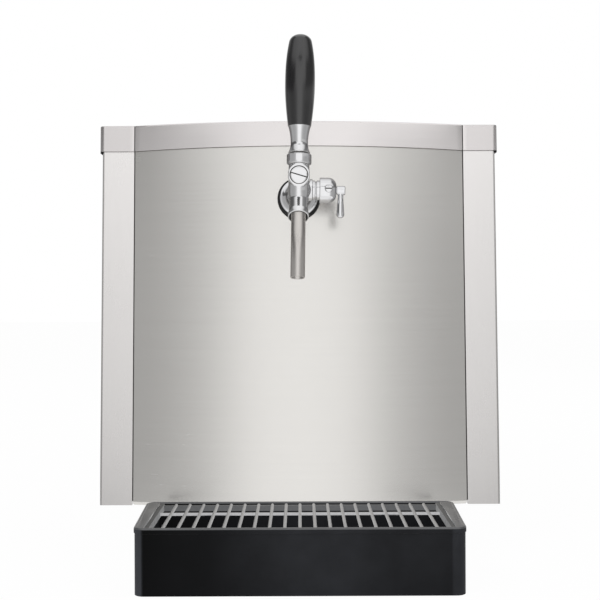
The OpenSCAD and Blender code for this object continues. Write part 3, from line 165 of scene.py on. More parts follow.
def upright(z=0.0):
    return tap_frame() @ shift(0, -REACH, z)


def down_spout(down):
    return (
        tap_frame()
        @ shift(0, -SPOUT_OUT, 0)
        @ turn(180 - SPOUT_TILT, "X")
        @ shift(0, 0, down)
    )


def along_compensator():
    return tap_frame() @ shift(0, -COMP_OUT, COMP_UP) @ turn(90, "Y")


def on_compensator(x, out):
    """Faces outwards, on the compensator's side at a distance along it."""
    return tap_frame() @ shift(x, -COMP_OUT - out, COMP_UP) @ turn(90, "X")


# Sizes and colours a user would change


def colour_setting(name, description, default):
    return bpy.props.FloatVectorProperty(
        name=name, description=description, subtype="COLOR", size=3, min=0.0, max=1.0,
        default=default)


def length_setting(name, description, low, high, default):
    return bpy.props.FloatProperty(
        name=name, description=description, subtype="DISTANCE", unit="LENGTH", min=low,
        max=high, default=default)


class CoolerSteel(bpy.types.PropertyGroup):
    panel_tone: colour_setting(
        "Front Panel", "Colour of the bowed panel's steel", (0.72, 0.705, 0.68))
    wall_tone: colour_setting(
        "Side Walls", "Colour of the walls and their front strips", (0.75, 0.73, 0.72))
    lid_tone: colour_setting("Lid", "Colour of the lid's steel", (0.74, 0.71, 0.705))
    grain: bpy.props.FloatProperty(
        name="Grain", description="Strength of the brushed grain",
        min=0.0, max=1.0, default=0.25)
    edge: length_setting("Bent Edge", "Rounding of the sheet's bends", 0.0002, 0.003, 0.0012)


class CoolerTap(bpy.types.PropertyGroup):
    chrome_tone: colour_setting("Chrome", "Colour of the polished plating", (0.76, 0.76, 0.77))
    chrome_roughness: bpy.props.FloatProperty(
        name="Chrome Roughness", description="Blur of the plating's reflections",
        min=0.0, max=1.0, default=0.07)
    tube_tone: colour_setting(
        "Spout Tube", "Colour of the spout's drawn steel", (0.6, 0.575, 0.55))
    handle_tone: colour_setting(
        "Handle", "Colour of the handle's plastic", (0.0035, 0.003, 0.004))
    blend: length_setting(
        "Casting Blend", "Voxel that rounds the casting's inner corners",
        0.0003, 0.001, 0.00042)


class CoolerTray(bpy.types.PropertyGroup):
    plastic_tone: colour_setting(
        "Tray", "Colour of the tray's moulded plastic", (0.01, 0.0105, 0.012))
    wire_tone: colour_setting("Grille", "Colour of the grille's wires", (0.5, 0.5, 0.51))
    edge: length_setting(
        "Moulded Edge", "Rounding of the tray's upper rim", 0.0002, 0.002, 0.0016)


class CoolerStage(bpy.types.PropertyGroup):
    camera_away: length_setting(
        "Camera Distance", "From the front strips' foot to the camera", 0.5, 4.0, 1.1)
    camera_height: length_setting(
        "Camera Height", "Height of the level camera", 0.0, 2.0, 0.2667)
    camera_side: length_setting(
        "Camera Side", "How far right of the tap the camera stands", -0.5, 0.5, 0.0008)
    camera_roll: bpy.props.FloatProperty(
        name="Camera Roll", description="Turn of the camera about its own view",
        subtype="ANGLE", unit="ROTATION", min=-0.1, max=0.1, default=math.radians(0.217))
    lens: bpy.props.FloatProperty(
        name="Lens", description="Focal length in millimetres",
        min=20.0, max=200.0, default=63.0)
    floor_tone: colour_setting(
        "Floor", "Colour of the plain pale floor", (0.86, 0.86, 0.86))
    lamp_power: bpy.props.FloatProperty(
        name="Lamp Power", description="Power of the main soft lamp in watts",
        min=0.0, max=500.0, default=26.0)


# Helpers that work as by hand, in object and edit mode


def deselect():
    if bpy.context.mode != "OBJECT":
        bpy.ops.object.mode_set(mode="OBJECT")
    bpy.ops.object.select_all(action="DESELECT")


def only(obj):
    deselect()
    obj.select_set(True)
    bpy.context.view_layer.objects.active = obj
    return obj


def named(name):
    obj = bpy.context.active_object
    obj.name = name
    obj.data.name = name
    return obj


def freeze(obj):
    """Leaves the object at the origin, with its place in its mesh."""
    bpy.ops.object.transform_apply(location=True, rotation=True, scale=True)
    return obj


def place(obj, matrix):
    only(obj)
    obj.matrix_world = matrix @ obj.matrix_world
    return freeze(obj)


def smooth(obj, degrees=SHARP):
    only(obj)
    bpy.ops.object.shade_smooth_by_angle(angle=math.radians(degrees))
    return obj


def open_mesh(obj, kind=None, action="SELECT"):
    """Opens the piece in edit mode, with all or none of it selected."""
    only(obj)
    bpy.ops.object.mode_set(mode="EDIT")
    if kind:
        bpy.ops.mesh.select_mode(type=kind)
    bpy.ops.mesh.select_all(action=action)


def close_mesh():
    bpy.ops.object.mode_set(mode="OBJECT")


def outside(obj):
    """Merges doubles and turns all faces outwards."""
    open_mesh(obj)
    bpy.ops.mesh.remove_doubles(threshold=1e-6)
    bpy.ops.mesh.normals_make_consistent(inside=False)
    close_mesh()
    return obj


def turned(name, profile, matrix, steps=72, closed=False):
    """A form as from the lathe: a ring extruded and resized along profile,
    which holds (radius, height) pairs in millimetres. With closed, the
    profile goes back to its first point and leaves a bore."""
    deselect()
    r, z = profile[0]
    bpy.ops.mesh.primitive_circle_add(
        vertices=steps, radius=r * MM, location=(0, 0, z * MM),
        fill_type="NOTHING" if closed else "NGON")
    obj = freeze(named(name))
    open_mesh(obj, "VERT")
    ring = list(profile[1:]) + ([profile[0]] if closed else [])
    for next_r, next_z in ring:
        bpy.ops.mesh.extrude_region_move(
            TRANSFORM_OT_translate={"value": (0, 0, (next_z - z) * MM)})
        k = next_r / r
        if abs(k - 1) > 1e-9:
            bpy.ops.transform.resize(value=(k, k, 1), center_override=(0, 0, next_z * MM))
        r, z = next_r, next_z
    close_mesh()
    outside(obj)
    return place(obj, matrix)


def block(name, low, high, matrix):
    """A box between two corners in millimetres."""
    deselect()
    centre = [(a + b) / 2 * MM for a, b in zip(low, high)]
    size = [(b - a) * MM for a, b in zip(low, high)]
    bpy.ops.mesh.primitive_cube_add(size=1.0, location=centre, scale=size)
    return place(named(name), matrix)


def pick(obj, kind, test):
    """In edit mode, selects the points or faces that pass."""
    open_mesh(obj, kind, "DESELECT")
    close_mesh()
    if kind == "VERT":
        for point in obj.data.vertices:
            point.select = test(point.co)
    else:
        for face in obj.data.polygons:
            face.select = test(face)
    bpy.ops.object.mode_set(mode="EDIT")


def round_bends(obj, width, segments, test):
    """Rounds the sharp edges whose middle passes."""
    open_mesh(obj, "EDGE", "DESELECT")
    bpy.ops.mesh.edges_select_sharp(sharpness=math.radians(SHARP))
    close_mesh()
    points = obj.data.vertices
    for face in obj.data.polygons:
        face.select = False
    for edge in obj.data.edges:
        start, end = (points[i].co for i in edge.vertices)
        edge.select = edge.select and test((start + end) / 2)
    bpy.ops.object.mode_set(mode="EDIT")
    bpy.ops.mesh.bevel(offset=width, segments=segments, affect="EDGES")
    close_mesh()
    return obj


def finish_modifiers(obj):
    only(obj)
    bpy.context.view_layer.update()
    for modifier in list(obj.modifiers):
        bpy.ops.object.modifier_apply(modifier=modifier.name)
    return obj


def even_shading(obj):
    """Keeps wide flat faces flat beside their rounded edges."""
    obj.modifiers.new("Flat Faces", "WEIGHTED_NORMAL").keep_sharp = True
    return finish_modifiers(obj)


def round_edges(obj, width):
    """Rounds every sharp edge."""
    bevel = obj.modifiers.new("Edges", "BEVEL")
    bevel.width = width
    bevel.segments = 2
    bevel.limit_method = "ANGLE"
    bevel.angle_limit = math.radians(SHARP)
    bevel.harden_normals = False
    return finish_modifiers(obj)


def blended(obj, voxel, polish):
    """Remeshes joined forms so that their inner corners blend, and polishes them."""
    remesh = obj.modifiers.new("Blend", "REMESH")
    remesh.mode = "VOXEL"
    remesh.voxel_size = voxel
    relax = obj.modifiers.new("Polish", "SMOOTH")
    relax.factor = 0.5
    relax.iterations = polish
    return finish_modifiers(obj)


def combine(obj, other, operation="UNION"):
    """Joins other to obj, or cuts it away, and deletes other."""
    cut = obj.modifiers.new(operation.title(), "BOOLEAN")
    cut.operation = operation
    cut.solver = "MANIFOLD"
    cut.object = other
    finish_modifiers(obj)
    bpy.data.objects.remove(other, do_unlink=True)
    return obj


def copied(node, name=None):
    """A merged copy of a CAD node's mesh, with flat faces made whole."""
    only(frame["nodes"][node])
    bpy.ops.object.duplicate()
    obj = named(name or node + "_finished")
    for key in [k for k in obj.keys() if k.startswith("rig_")]:
        del obj[key]
    obj.parent = None
    obj.matrix_world = Matrix.Identity(4)
    obj.data.materials.clear()
    open_mesh(obj)
    bpy.ops.mesh.remove_doubles(threshold=2e-6)
    bpy.ops.mesh.dissolve_limited(angle_limit=math.radians(0.1))
    close_mesh()
    return obj


def dress(obj, material, body, *nodes, slot=None):
    """Gives the piece its finish, its body and the nodes that it stands for."""
    obj.data.materials.clear()
    obj.data.materials.append(material)
    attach(obj, body)
    if nodes:
        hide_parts(*nodes)
    return obj


def second_finish(obj, material, test):
    """Gives the faces that pass a finish of their own."""
    obj.data.materials.append(material)
    pick(obj, "FACE", test)
    obj.active_material_index = len(obj.data.materials) - 1
    bpy.ops.object.material_slot_assign()
    close_mesh()
    return obj


def group_of(node, groups):
    """The name of the group that holds the node."""
    for name, nodes in groups.items():
        if node in nodes:
            return name
    raise RuntimeError("no group holds " + node)


def softened(node, width):
    """A copy of a node with rounded edges that stands for it, with the node's finish."""
    piece = even_shading(smooth(round_edges(copied(node), width)))
    body = group_of(node, frame["record"]["behaviour"]["bodies"])
    return dress(piece, finishes()[group_of(node, NODE_FINISH)], body, node)


# Round profiles, each a list of (radius, height) in millimetres


def arc(centre_r, centre_z, radius, start, end, steps):
    """Points of a round corner, by angle from the radius axis in degrees."""
    angles = [math.radians(start + (end - start) * i / steps) for i in range(steps + 1)]
    return [(centre_r + radius * math.cos(a), centre_z + radius * math.sin(a)) for a in angles]


def handle_profile():
    """A bore for the stem, then the slim foot, the full middle and the round top."""
    middle, top, taper = 0.46, 0.92, 0.35
    taper_power, dome_power = 2.5, 2.3
    rings, top_rings = 44, 14
    foot_r, full_r = HANDLE_FOOT_D / 2, HANDLE_D / 2

    def swell(t):
        if t < middle:
            return foot_r + (full_r - foot_r) * math.sin(math.pi / 2 * t / middle)
        shrink = 1 - taper * ((t - middle) / (1 - middle)) ** taper_power
        if t < top:
            return full_r * shrink
        fall = max(0.0, 1 - ((t - top) / (1 - top)) ** dome_power)
        return full_r * shrink * fall ** (1 / dome_power)

    rising = [top * i / rings for i in range(1, rings + 1)]
    closing = [top + (1 - top) * math.sin(math.pi / 2 * i / top_rings)
               for i in range(1, top_rings + 1)]
    bore = [(STEM_R + RUN, STEM_GRIP + 1.5), (STEM_R + RUN, 0), (foot_r - 0.5, 0)]
    bore += [(foot_r - 0.15, 0.12), (foot_r, 0.5)]
    return bore + [(max(swell(t), 0.05), t * (HANDLE_H - 0.1)) for t in rising + closing]


def ferrule_profile():
    """A waisted sleeve, hollowed by a cup below and bored for the stem."""
    foot_r, waist_r, top_r = FERRULE_FOOT_R, FERRULE_WAIST_R, HANDLE_FOOT_D / 2 - 0.4
    rings, cup_rings = 28, 8
    tall = FERRULE_H - FIT
    waist = tall * 0.36
    pivot = COLLAR_TOP + FIT - PIVOT_H
    cup = math.hypot(foot_r, pivot) - CUP_RIM

    def side(z):
        away = (waist - z) / waist if z < waist else (z - waist) / (tall - waist)
        full = foot_r if z < waist else top_r
        return waist_r + (full - waist_r) * away ** 2

    bore = STEM_R + RUN
    cup_radii = [bore + (math.sqrt(cup ** 2 - pivot ** 2) - bore) * i / cup_rings
                 for i in range(cup_rings + 1)]
    hollow = [(r, math.sqrt(cup ** 2 - r ** 2) - pivot) for r in cup_radii]
    skin = [(side(tall * i / rings), tall * i / rings) for i in range(rings + 1)]
    skin[0] = (foot_r - 0.35, 0.0)
    skin.insert(1, (foot_r - 0.08, 0.35))
    return [(bore, tall)] + hollow + skin[:-1] + [(top_r, tall - 0.35), (top_r - 0.35, tall)]


def collar_profile():
    """The nut that caps the lever's ball, with a cone for the stem's swing."""
    out = BARREL_NUT_D / 2
    cap = math.hypot(FERRULE_FOOT_R, COLLAR_TOP + FIT - PIVOT_H) - CUP_RIM - FIT
    top = COLLAR_TOP - PIVOT_H
    swing = math.radians(POUR)
    mouth = top * math.tan(swing) + STEM_R / math.cos(swing) + FIT
    low = COLLAR_Z - PIVOT_H
    shoulder = math.sqrt(cap ** 2 - (out - 0.4) ** 2)
    dome = [(r, math.sqrt(cap ** 2 - r ** 2))
            for r in (out - 0.4, out - 1.0, out - 1.7, math.sqrt(cap ** 2 - top ** 2))]
    foot = arc(out - 1.2, low + 1.2, 1.2, -90, 0, 4)
    return ([(5.6, low), (5.55, low + 0.3), (mouth, top - 0.02)] + dome[::-1]
            + [(out, shoulder - 0.4)] + foot[::-1])


def rosette_profile():
    """A flange with a hollow flank that runs up to the tap's barrel."""
    out, bore, flank = ROSETTE_D / 2, SHANK_D / 2 + RUN, ROSETTE_H - 1.6
    cove = arc(out + 0.6, ROSETTE_H, flank, 180, 266, 20)
    cove = [point for point in cove if point[0] < out - 0.15]
    return ([(bore, ROSETTE_H - 0.04), (bore, 0), (out - 0.3, 0), (out, 0.3), (out, 1.35),
             (out - 0.25, 1.58)] + cove[::-1] + [(out + 0.6 - flank, ROSETTE_H - 0.04)])


def gasket_profile():
    """A flat rubber ring with a round outer lip."""
    out, hole = GASKET_D / 2, SHANK_D / 2 + GASKET_DROP + RUN
    lip = arc(out - 1.2, GASKET_T - 1.2, 1.2, 0, 90, 6)
    return [(hole, GASKET_T), (hole, 0), (out - 0.2, 0), (out, 0.2)] + lip


def barrel_profile():
    """The tap's lower barrel from its flare at the rosette to its round nose."""
    r, seat = BARREL_D / 2, GASKET_T + ROSETTE_H
    flare = [(0.4, seat), (r - 0.5, seat), (r + 0.8, seat + 2), (r + 0.8, seat + 4.6),
             (r, seat + 5.6)]
    return flare + arc(0, 50, r, 0, 88, 12)


# Pieces of the tap


def bores():
    """Every bore of the casting, joined to one cutter."""
    shank_r, tube_r = SHANK_D / 2 + RUN, SPOUT_D / 2 + RUN
    seat = GASKET_T + ROSETTE_H
    thread, rim, plug_r = BOSS_OUT - 4.4, BOSS_OUT - 2.2, PLUG_D / 2 + SEAT_GAP
    socket, flare = SPOUT_BOSS_L - SOCKET_DEPTH, SPOUT_BOSS_L - 2.6
    cutters = [
        turned("shank_seat", [(shank_r, seat - 2), (shank_r, SHANK_OUT), (7, SHANK_OUT),
                              (7, 50)], outward(0)),
        turned("chamber", [(6.5, 0), (6.5, COMP_BOSS_X + 1)], along_compensator()),
        turned("valve_bore", [(6.4, BOSS_IN - 1), (6.4, 50.2), (4.7, 50.2), (4.7, 51.4),
                              (6, 51.4), (6, thread), (7.05, thread), (7.05, rim),
                              (plug_r, rim), (plug_r, BOSS_OUT + 2)], outward(0, PLUG_H)),
        turned("ball_seat", arc(0, 0, BALL_R + RUN, -88, 0, 12) + [(BALL_R + RUN, 5)],
               upright(PIVOT_H)),
        turned("pin_hole", [(PIN_D / 2 + 0.02, -12), (PIN_D / 2 + 0.02, 12)],
               upright(PIVOT_H) @ turn(90, "Y")),
        turned("port", [(3, 0), (3, PLUG_H)], tap_frame() @ shift(0, -42.5, 0)),
        turned("spout_socket", [(4.5, -10), (4.5, socket), (tube_r, socket), (tube_r, flare),
                                (SPOUT_D / 2 + 2.1, flare),
                                (SPOUT_D / 2 + 2.3, SPOUT_BOSS_L + 10)], down_spout(0)),
        block("finger_slot", (-3.3, -3.3, -9.5), (3.3, 7.2, 0), upright(PIVOT_H)),
    ]
    cutter = cutters[0]
    for other in cutters[1:]:
        combine(cutter, other)
    return cutter


def tap_casting(blend):
    """Barrel, upright neck, front boss, spout boss and side boss in one
    casting: joined, remeshed so that their corners blend, then bored."""
    neck_r, boss_r = NECK_D / 2, BOSS_W / 2
    spout_r, lip_r, side_r = SPOUT_BOSS_D / 2, SPOUT_LIP_D / 2, COMP_BOSS_D / 2
    body = turned("tap_casting", barrel_profile(), outward(0))
    neck = turned("neck", arc(0, -4, neck_r, -88, 0, 12) + [(neck_r, COLLAR_Z)], upright())
    boss = turned("boss", arc(0, BOSS_IN, boss_r, -88, 0, 12)
                  + [(boss_r, BOSS_OUT - 0.5), (boss_r - 0.5, BOSS_OUT)],
                  outward(0, PLUG_H - 1))
    raise_upper_half(boss, 2.0)
    spout = turned("spout_boss", [(spout_r - 1, 0), (spout_r, 2), (spout_r, SPOUT_BOSS_L - 4.5),
                                  (spout_r + 0.35, SPOUT_BOSS_L - 2), (lip_r, SPOUT_BOSS_L),
                                  (lip_r + 0.2, SPOUT_BOSS_L + 8)], down_spout(0))
    mouth = down_spout(SPOUT_BOSS_L + MOUTH_DROP / 2) @ turn(-MOUTH_TILT, "X")
    combine(spout, block("mouth_cut", (-20, -30, 0), (20, 30, 20), mouth), "DIFFERENCE")
    side = turned("side_boss", [(side_r - 1, 0), (side_r - 1, COMP_BOSS_X - 4.4),
                                (side_r, COMP_BOSS_X - 4), (side_r, COMP_BOSS_X)],
                  along_compensator())
    for other in (neck, boss, spout, side):
        combine(body, other)
    blended(body, blend, 8)
    combine(body, bores(), "DIFFERENCE")
    return smooth(body, 40)


def behind(matrix, height):
    """A test for faces whose middle lies below a height along a matrix's own axis."""
    back = matrix.inverted()
    return lambda face: (back @ face.center).z < height * MM


def inside_seats(face):
    """Tells the faces of the plug's seat and of the spout's socket."""
    plug = outward(0, PLUG_H).inverted() @ face.center
    into = down_spout(0).inverted()
    socket, facing = into @ face.center, into.to_3x3() @ face.normal
    plug_r, socket_r = PLUG_D / 2 + SEAT_GAP + RUN, SPOUT_D / 2 + 2.5
    in_plug = math.hypot(plug.x, plug.y) < plug_r * MM and plug.z > 50 * MM
    in_socket = (math.hypot(socket.x, socket.y) < socket_r * MM and socket.z > 14 * MM
                 and facing.x * socket.x + facing.y * socket.y < 0)
    return in_plug or in_socket


def raise_upper_half(obj, rise):
    """Draws a round boss out to an upright racetrack."""
    up = tap_frame().to_3x3() @ Vector((0, 0, 1))
    middle = tap_frame() @ Vector((0, 0, (PLUG_H - 1) * MM))
    pick(obj, "VERT", lambda at: (at - middle).dot(up) > 1e-5)
    bpy.ops.transform.translate(value=up * rise * MM)
    close_mesh()


def compensator_dome():
    """The side housing: a necked barrel with a round end, bored for its shaft."""
    r, shaft, neck_r = COMP_D / 2, 3 + RUN, 9.75
    profile = ([(shaft, COMP_END), (shaft, COMP_BOSS_X - 4.5), (6.45, COMP_BOSS_X - 4.5),
                (6.45, COMP_BOSS_X + 0.02), (neck_r - 0.3, COMP_BOSS_X + 0.02),
                (neck_r, COMP_BOSS_X + 0.3)]
               + arc(neck_r, COMP_BOSS_X + 3.2, 1, -90, -270, 8)
               + [(neck_r, COMP_SEAT)]
               + arc(r - 0.8, COMP_SEAT + 0.8, 0.8, -90, 0, 4)
               + arc(r - 8, COMP_END - 8, 8, 0, 90, 16))
    dome = turned("compensator_dome", profile, along_compensator(), 96, closed=True)
    pocket = turned("pocket", [(4 + RUN, 0), (4 + RUN, 6)], on_compensator(DIAL_X, r - 3.4), 64)
    combine(dome, pocket, "DIFFERENCE")
    return smooth(dome, 35)


def teardrop_lever():
    """Hub and drop-shaped lever in one, then the shaft and its eccentric pin."""
    hub = turned("teardrop_lever", [(3.6, COMP_END + FIT), (4.35, COMP_END + FIT),
                                    (4.6, COMP_END + FIT + 0.3)]
                 + arc(3.6, 45.6, 1, 0, 90, 5), along_compensator(), 64)
    end_r, root_r = 3.95, 2.3
    reach = COMP_LEVER - end_r
    drop = [(3.6, 0), (3.2, 2.2), (2.88, 4.2), (2.78, 6.2), (2.82, 8.5)]
    drop += [(root_r + (end_r - root_r) * h / reach, h) for h in (11, 14, 17, 20, 22)]
    drop += arc(0, reach, end_r, 2, 88, 10)
    hang = tap_frame() @ shift(LEVER_X, -COMP_OUT, COMP_UP) @ turn(180, "X")
    combine(hub, turned("drop", drop, hang, 64))
    blended(hub, 0.0003, 5)
    shaft = turned("shaft", [(4.6, 7.3), (4.6, 8.9), (3, 8.9), (3, COMP_END + 2)],
                   along_compensator(), 48)
    pin = turned("pin", [(PIN_D / 2, 0.4), (PIN_D / 2, 8)],
                 tap_frame() @ shift(0, -COMP_OUT, COMP_UP - 3) @ turn(90, "Y"), 32)
    combine(hub, shaft)
    combine(hub, pin)
    return smooth(hub, 40)


def slotted(obj, matrix, length, width, depth, degrees=0.0):
    """Cuts a screwdriver slot across the end that the matrix puts at height 0."""
    half = length / 2
    tool = block("slot", (-half, -width / 2, -depth), (half, width / 2, 2),
                 matrix @ turn(degrees, "Z"))
    return combine(obj, tool, "DIFFERENCE")


# Shader groups: each puts out a colour, a roughness or a height


FLOAT, COLOUR, VECTOR = "NodeSocketFloat", "NodeSocketColor", "NodeSocketVector"
SURFACE = [("Color", COLOUR), ("Roughness", FLOAT), ("Height", FLOAT)]


def group(name, inputs, outputs):
    tree = bpy.data.node_groups.get(name)
    if tree:
        return tree, None, None
    tree = bpy.data.node_groups.new(name, "ShaderNodeTree")
    for label, kind, default in inputs:
        socket = tree.interface.new_socket(label, in_out="INPUT", socket_type=kind)
        if default is not None:
            socket.default_value = default
    for label, kind in outputs:
        tree.interface.new_socket(label, in_out="OUTPUT", socket_type=kind)
    given = tree.nodes.new("NodeGroupInput").outputs
    return tree, given, tree.nodes.new("NodeGroupOutput")


def put_out(tree, out, **values):
    for label, value in values.items():
        tree.links.new(value, out.inputs[label])
    return tree


def node(tree, kind, **settings):
    made = tree.nodes.new(kind)
    for key, value in settings.items():
        setattr(made, key, value)
    return made


def feed(tree, socket, value):
    """Sets the socket to a number or links it to another socket."""
    if isinstance(value, (int, float)):
        socket.default_value = value
    else:
        tree.links.new(value, socket)


def noise(tree, vector, scale, detail, roughness):
    made = node(tree, "ShaderNodeTexNoise")
    feed(tree, made.inputs["Scale"], scale)
    made.inputs["Detail"].default_value = detail
    made.inputs["Roughness"].default_value = roughness
    tree.links.new(vector, made.inputs["Vector"])
    return made.outputs["Fac"]


def math_node(tree, operation, a, b):
    made = node(tree, "ShaderNodeMath", operation=operation)
    feed(tree, made.inputs[0], a)
    feed(tree, made.inputs[1], b)
    return made.outputs[0]


def plus(tree, a, b):
    return math_node(tree, "ADD", a, b)


def times(tree, a, b):
    return math_node(tree, "MULTIPLY", a, b)


def swung(tree, value, middle, amount):
    """How far the value is from its middle, times an amount."""
    return times(tree, math_node(tree, "SUBTRACT", value, middle), amount)


def spread(tree, value, low, high, to_low, to_high):
    made = node(tree, "ShaderNodeMapRange")
    for label, number in (
            ("From Min", low), ("From Max", high), ("To Min", to_low), ("To Max", to_high)):
        made.inputs[label].default_value = number
    tree.links.new(value, made.inputs["Value"])
    return made.outputs["Result"]


def tint(tree, colour, factor):
    """The colour times a factor."""
    made = node(tree, "ShaderNodeMix", data_type="RGBA", blend_type="MULTIPLY")
    made.inputs["Factor"].default_value = 1.0
    tree.links.new(colour, made.inputs["A"])
    grey = node(tree, "ShaderNodeCombineColor")
    for channel in ("Red", "Green", "Blue"):
        tree.links.new(factor, grey.inputs[channel])
    tree.links.new(grey.outputs[0], made.inputs["B"])
    return made.outputs["Result"]


def grey_ramp(tree, value, stops):
    """A grey that follows the value through (place from 0 to 1, brightness) pairs."""
    ramp = node(tree, "ShaderNodeValToRGB")
    marks = ramp.color_ramp.elements
    while len(marks) < len(stops):
        marks.new(0.5)
    for mark, stop in zip(marks, stops):
        mark.position = stop[0]
    for mark, stop in zip(marks, stops):
        mark.color = (stop[1], stop[1], stop[1], 1.0)
    tree.links.new(value, ramp.inputs["Fac"])
    return ramp.outputs["Color"]


def brushed_grain():
    """Long fine scratches: the Vector input is already stretched along them."""
    tree, given, out = group(
        "Brushed Grain",
        [("Vector", VECTOR, None), ("Tone", COLOUR, (0.6, 0.6, 0.6, 1)),
         ("Roughness", FLOAT, 0.3), ("Strength", FLOAT, 0.5)], SURFACE)
    if given is None:
        return tree
    fine = noise(tree, given["Vector"], 1.0, 4.0, 0.6)
    broad = noise(tree, given["Vector"], 0.12, 2.0, 0.5)
    both = plus(tree, times(tree, fine, 0.6), times(tree, broad, 0.4))
    swing = swung(tree, both, 0.5, given["Strength"])
    return put_out(
        tree, out,
        Color=tint(tree, given["Tone"], plus(tree, times(tree, swing, 0.36), 1.0)),
        Roughness=plus(tree, given["Roughness"], times(tree, swing, 0.3)),
        Height=times(tree, both, given["Strength"]))


def hand_smudges():
    """Broad, faint cloudiness that hands and wiping leave."""
    tree, given, out = group(
        "Wiped Smudges",
        [("Vector", VECTOR, None), ("Roughness", FLOAT, 0.3), ("Amount", FLOAT, 0.05)],
        [("Roughness", FLOAT)])
    if given is None:
        return tree
    cloud = times(tree, noise(tree, given["Vector"], 9.0, 2.0, 0.5),
                  noise(tree, given["Vector"], 60.0, 3.0, 0.6))
    swing = swung(tree, cloud, 0.25, given["Amount"])
    return put_out(tree, out, Roughness=plus(tree, given["Roughness"], swing))


def moulded_skin():
    """Spark-eroded texture of moulded plastic or rubber."""
    tree, given, out = group(
        "Moulded Skin",
        [("Vector", VECTOR, None), ("Tone", COLOUR, (0.02, 0.02, 0.02, 1)),
         ("Size", FLOAT, 900.0), ("Roughness", FLOAT, 0.5)], SURFACE)
    if given is None:
        return tree
    cells = node(tree, "ShaderNodeTexVoronoi")
    tree.links.new(given["Vector"], cells.inputs["Vector"])
    tree.links.new(given["Size"], cells.inputs["Scale"])
    cloud = noise(tree, given["Vector"], 25.0, 3.0, 0.55)
    swing = spread(tree, cloud, 0.3, 0.7, -0.05, 0.05)
    return put_out(
        tree, out,
        Color=tint(tree, given["Tone"], spread(tree, cloud, 0.3, 0.7, 0.8, 1.25)),
        Roughness=plus(tree, given["Roughness"], swing),
        Height=cells.outputs["Distance"])


def mottled_metal():
    """Uneven tone and fine pitting of plated, cast, drawn or painted surfaces."""
    tree, given, out = group(
        "Mottled Metal",
        [("Vector", VECTOR, None), ("Tone", COLOUR, (0.6, 0.6, 0.6, 1)),
         ("Size", FLOAT, 120.0), ("Roughness", FLOAT, 0.4), ("Amount", FLOAT, 0.15)], SURFACE)
    if given is None:
        return tree
    cloud = noise(tree, given["Vector"], given["Size"], 4.0, 0.5)
    swing = swung(tree, cloud, 0.5, given["Amount"])
    return put_out(
        tree, out,
        Color=tint(tree, given["Tone"], plus(tree, times(tree, swing, 2.0), 1.0)),
        Roughness=plus(tree, given["Roughness"], swing),
        Height=cloud)


def place_group(tree, group_tree, vector, **values):
    made = node(tree, "ShaderNodeGroup", node_tree=group_tree)
    tree.links.new(vector, made.inputs["Vector"])
    for label, value in values.items():
        made.inputs[label].default_value = value
    return made


def new_material(name):
    """An empty Principled material and its Object coordinates."""
    material = bpy.data.materials.new(name)
    material.use_nodes = True
    tree = material.node_tree
    shader = tree.nodes["Principled BSDF"]
    coordinates = node(tree, "ShaderNodeTexCoord").outputs["Object"]
    return material, tree, shader, coordinates


def bare_tree(data):
    """Empties a material's or world's node tree."""
    data.use_nodes = True
    data.node_tree.nodes.clear()
    return data.node_tree


def stretched(tree, vector, scale):
    mapping = node(tree, "ShaderNodeMapping")
    mapping.inputs["Scale"].default_value = scale
    tree.links.new(vector, mapping.inputs["Vector"])
    return mapping.outputs["Vector"]


def finish_with(tree, shader, colour, roughness, height, relief, metallic=0.0):
    """Feeds the shader. relief is the bump's distance in metres and its strength."""
    tree.links.new(colour, shader.inputs["Base Color"])
    tree.links.new(roughness, shader.inputs["Roughness"])
    shader.inputs["Metallic"].default_value = metallic
    bump = node(tree, "ShaderNodeBump")
    bump.inputs["Distance"].default_value = relief[0]
    bump.inputs["Strength"].default_value = relief[1]
    tree.links.new(height, bump.inputs["Height"])
    tree.links.new(bump.outputs["Normal"], shader.inputs["Normal"])


def rgba(colour):
    return (*colour[:3], 1.0)


# Painted light and shade: slow changes of tone over a piece that stand in for how the light falls
# on it; an axis, then (place in metres, factor) pairs
# Painted light and shade on the lid's rim: lighter towards the seams, the right most, and darker
# on the end caps
LID_PAINTED_LIGHT = ("X", [(-0.22, 0.87), (-0.18, 0.87), (-0.168, 1.2), (-0.1, 1.0), (0.0, 1.0),
                 (0.08, 1.08), (0.168, 1.36), (0.18, 0.91), (0.22, 0.91)])
# Painted shade on the walls and their strips: darker towards the floor
WALL_PAINTED_SHADE = ("Z", [(0.04, 0.8), (0.25, 0.93), (0.44, 1.08)])
# Painted light and shade on the tray: dark on the left, lighter in the middle, with painted
# highlights at both ends
TRAY_PAINTED_LIGHT = ("X", [(-0.152, 4.0), (-0.1435, 3.6), (-0.142, 0.15), (-0.08, 0.55), (0.0, 1.95),
                  (0.08, 1.4), (0.1365, 1.1), (0.138, 2.2), (0.152, 2.4)])
# Divides the factors for the ramp, which stays within 1, and multiplies them again
RUN_TOP = 8.0


def painted_light_along(tree, at, colour, painted_light):
    """The colour with painted light and shade: a slow change of tone along an axis."""
    if painted_light is None:
        return colour
    axis, stops = painted_light
    parts = node(tree, "ShaderNodeSeparateXYZ")
    tree.links.new(at, parts.inputs[0])
    first, last = stops[0][0], stops[-1][0]
    along = spread(tree, parts.outputs[axis], first, last, 0.0, 1.0)
    shares = [((spot - first) / (last - first), factor / RUN_TOP) for spot, factor in stops]
    grey = node(tree, "ShaderNodeRGBToBW")
    tree.links.new(grey_ramp(tree, along, shares), grey.inputs[0])
    return tint(tree, colour, times(tree, grey.outputs[0], RUN_TOP))


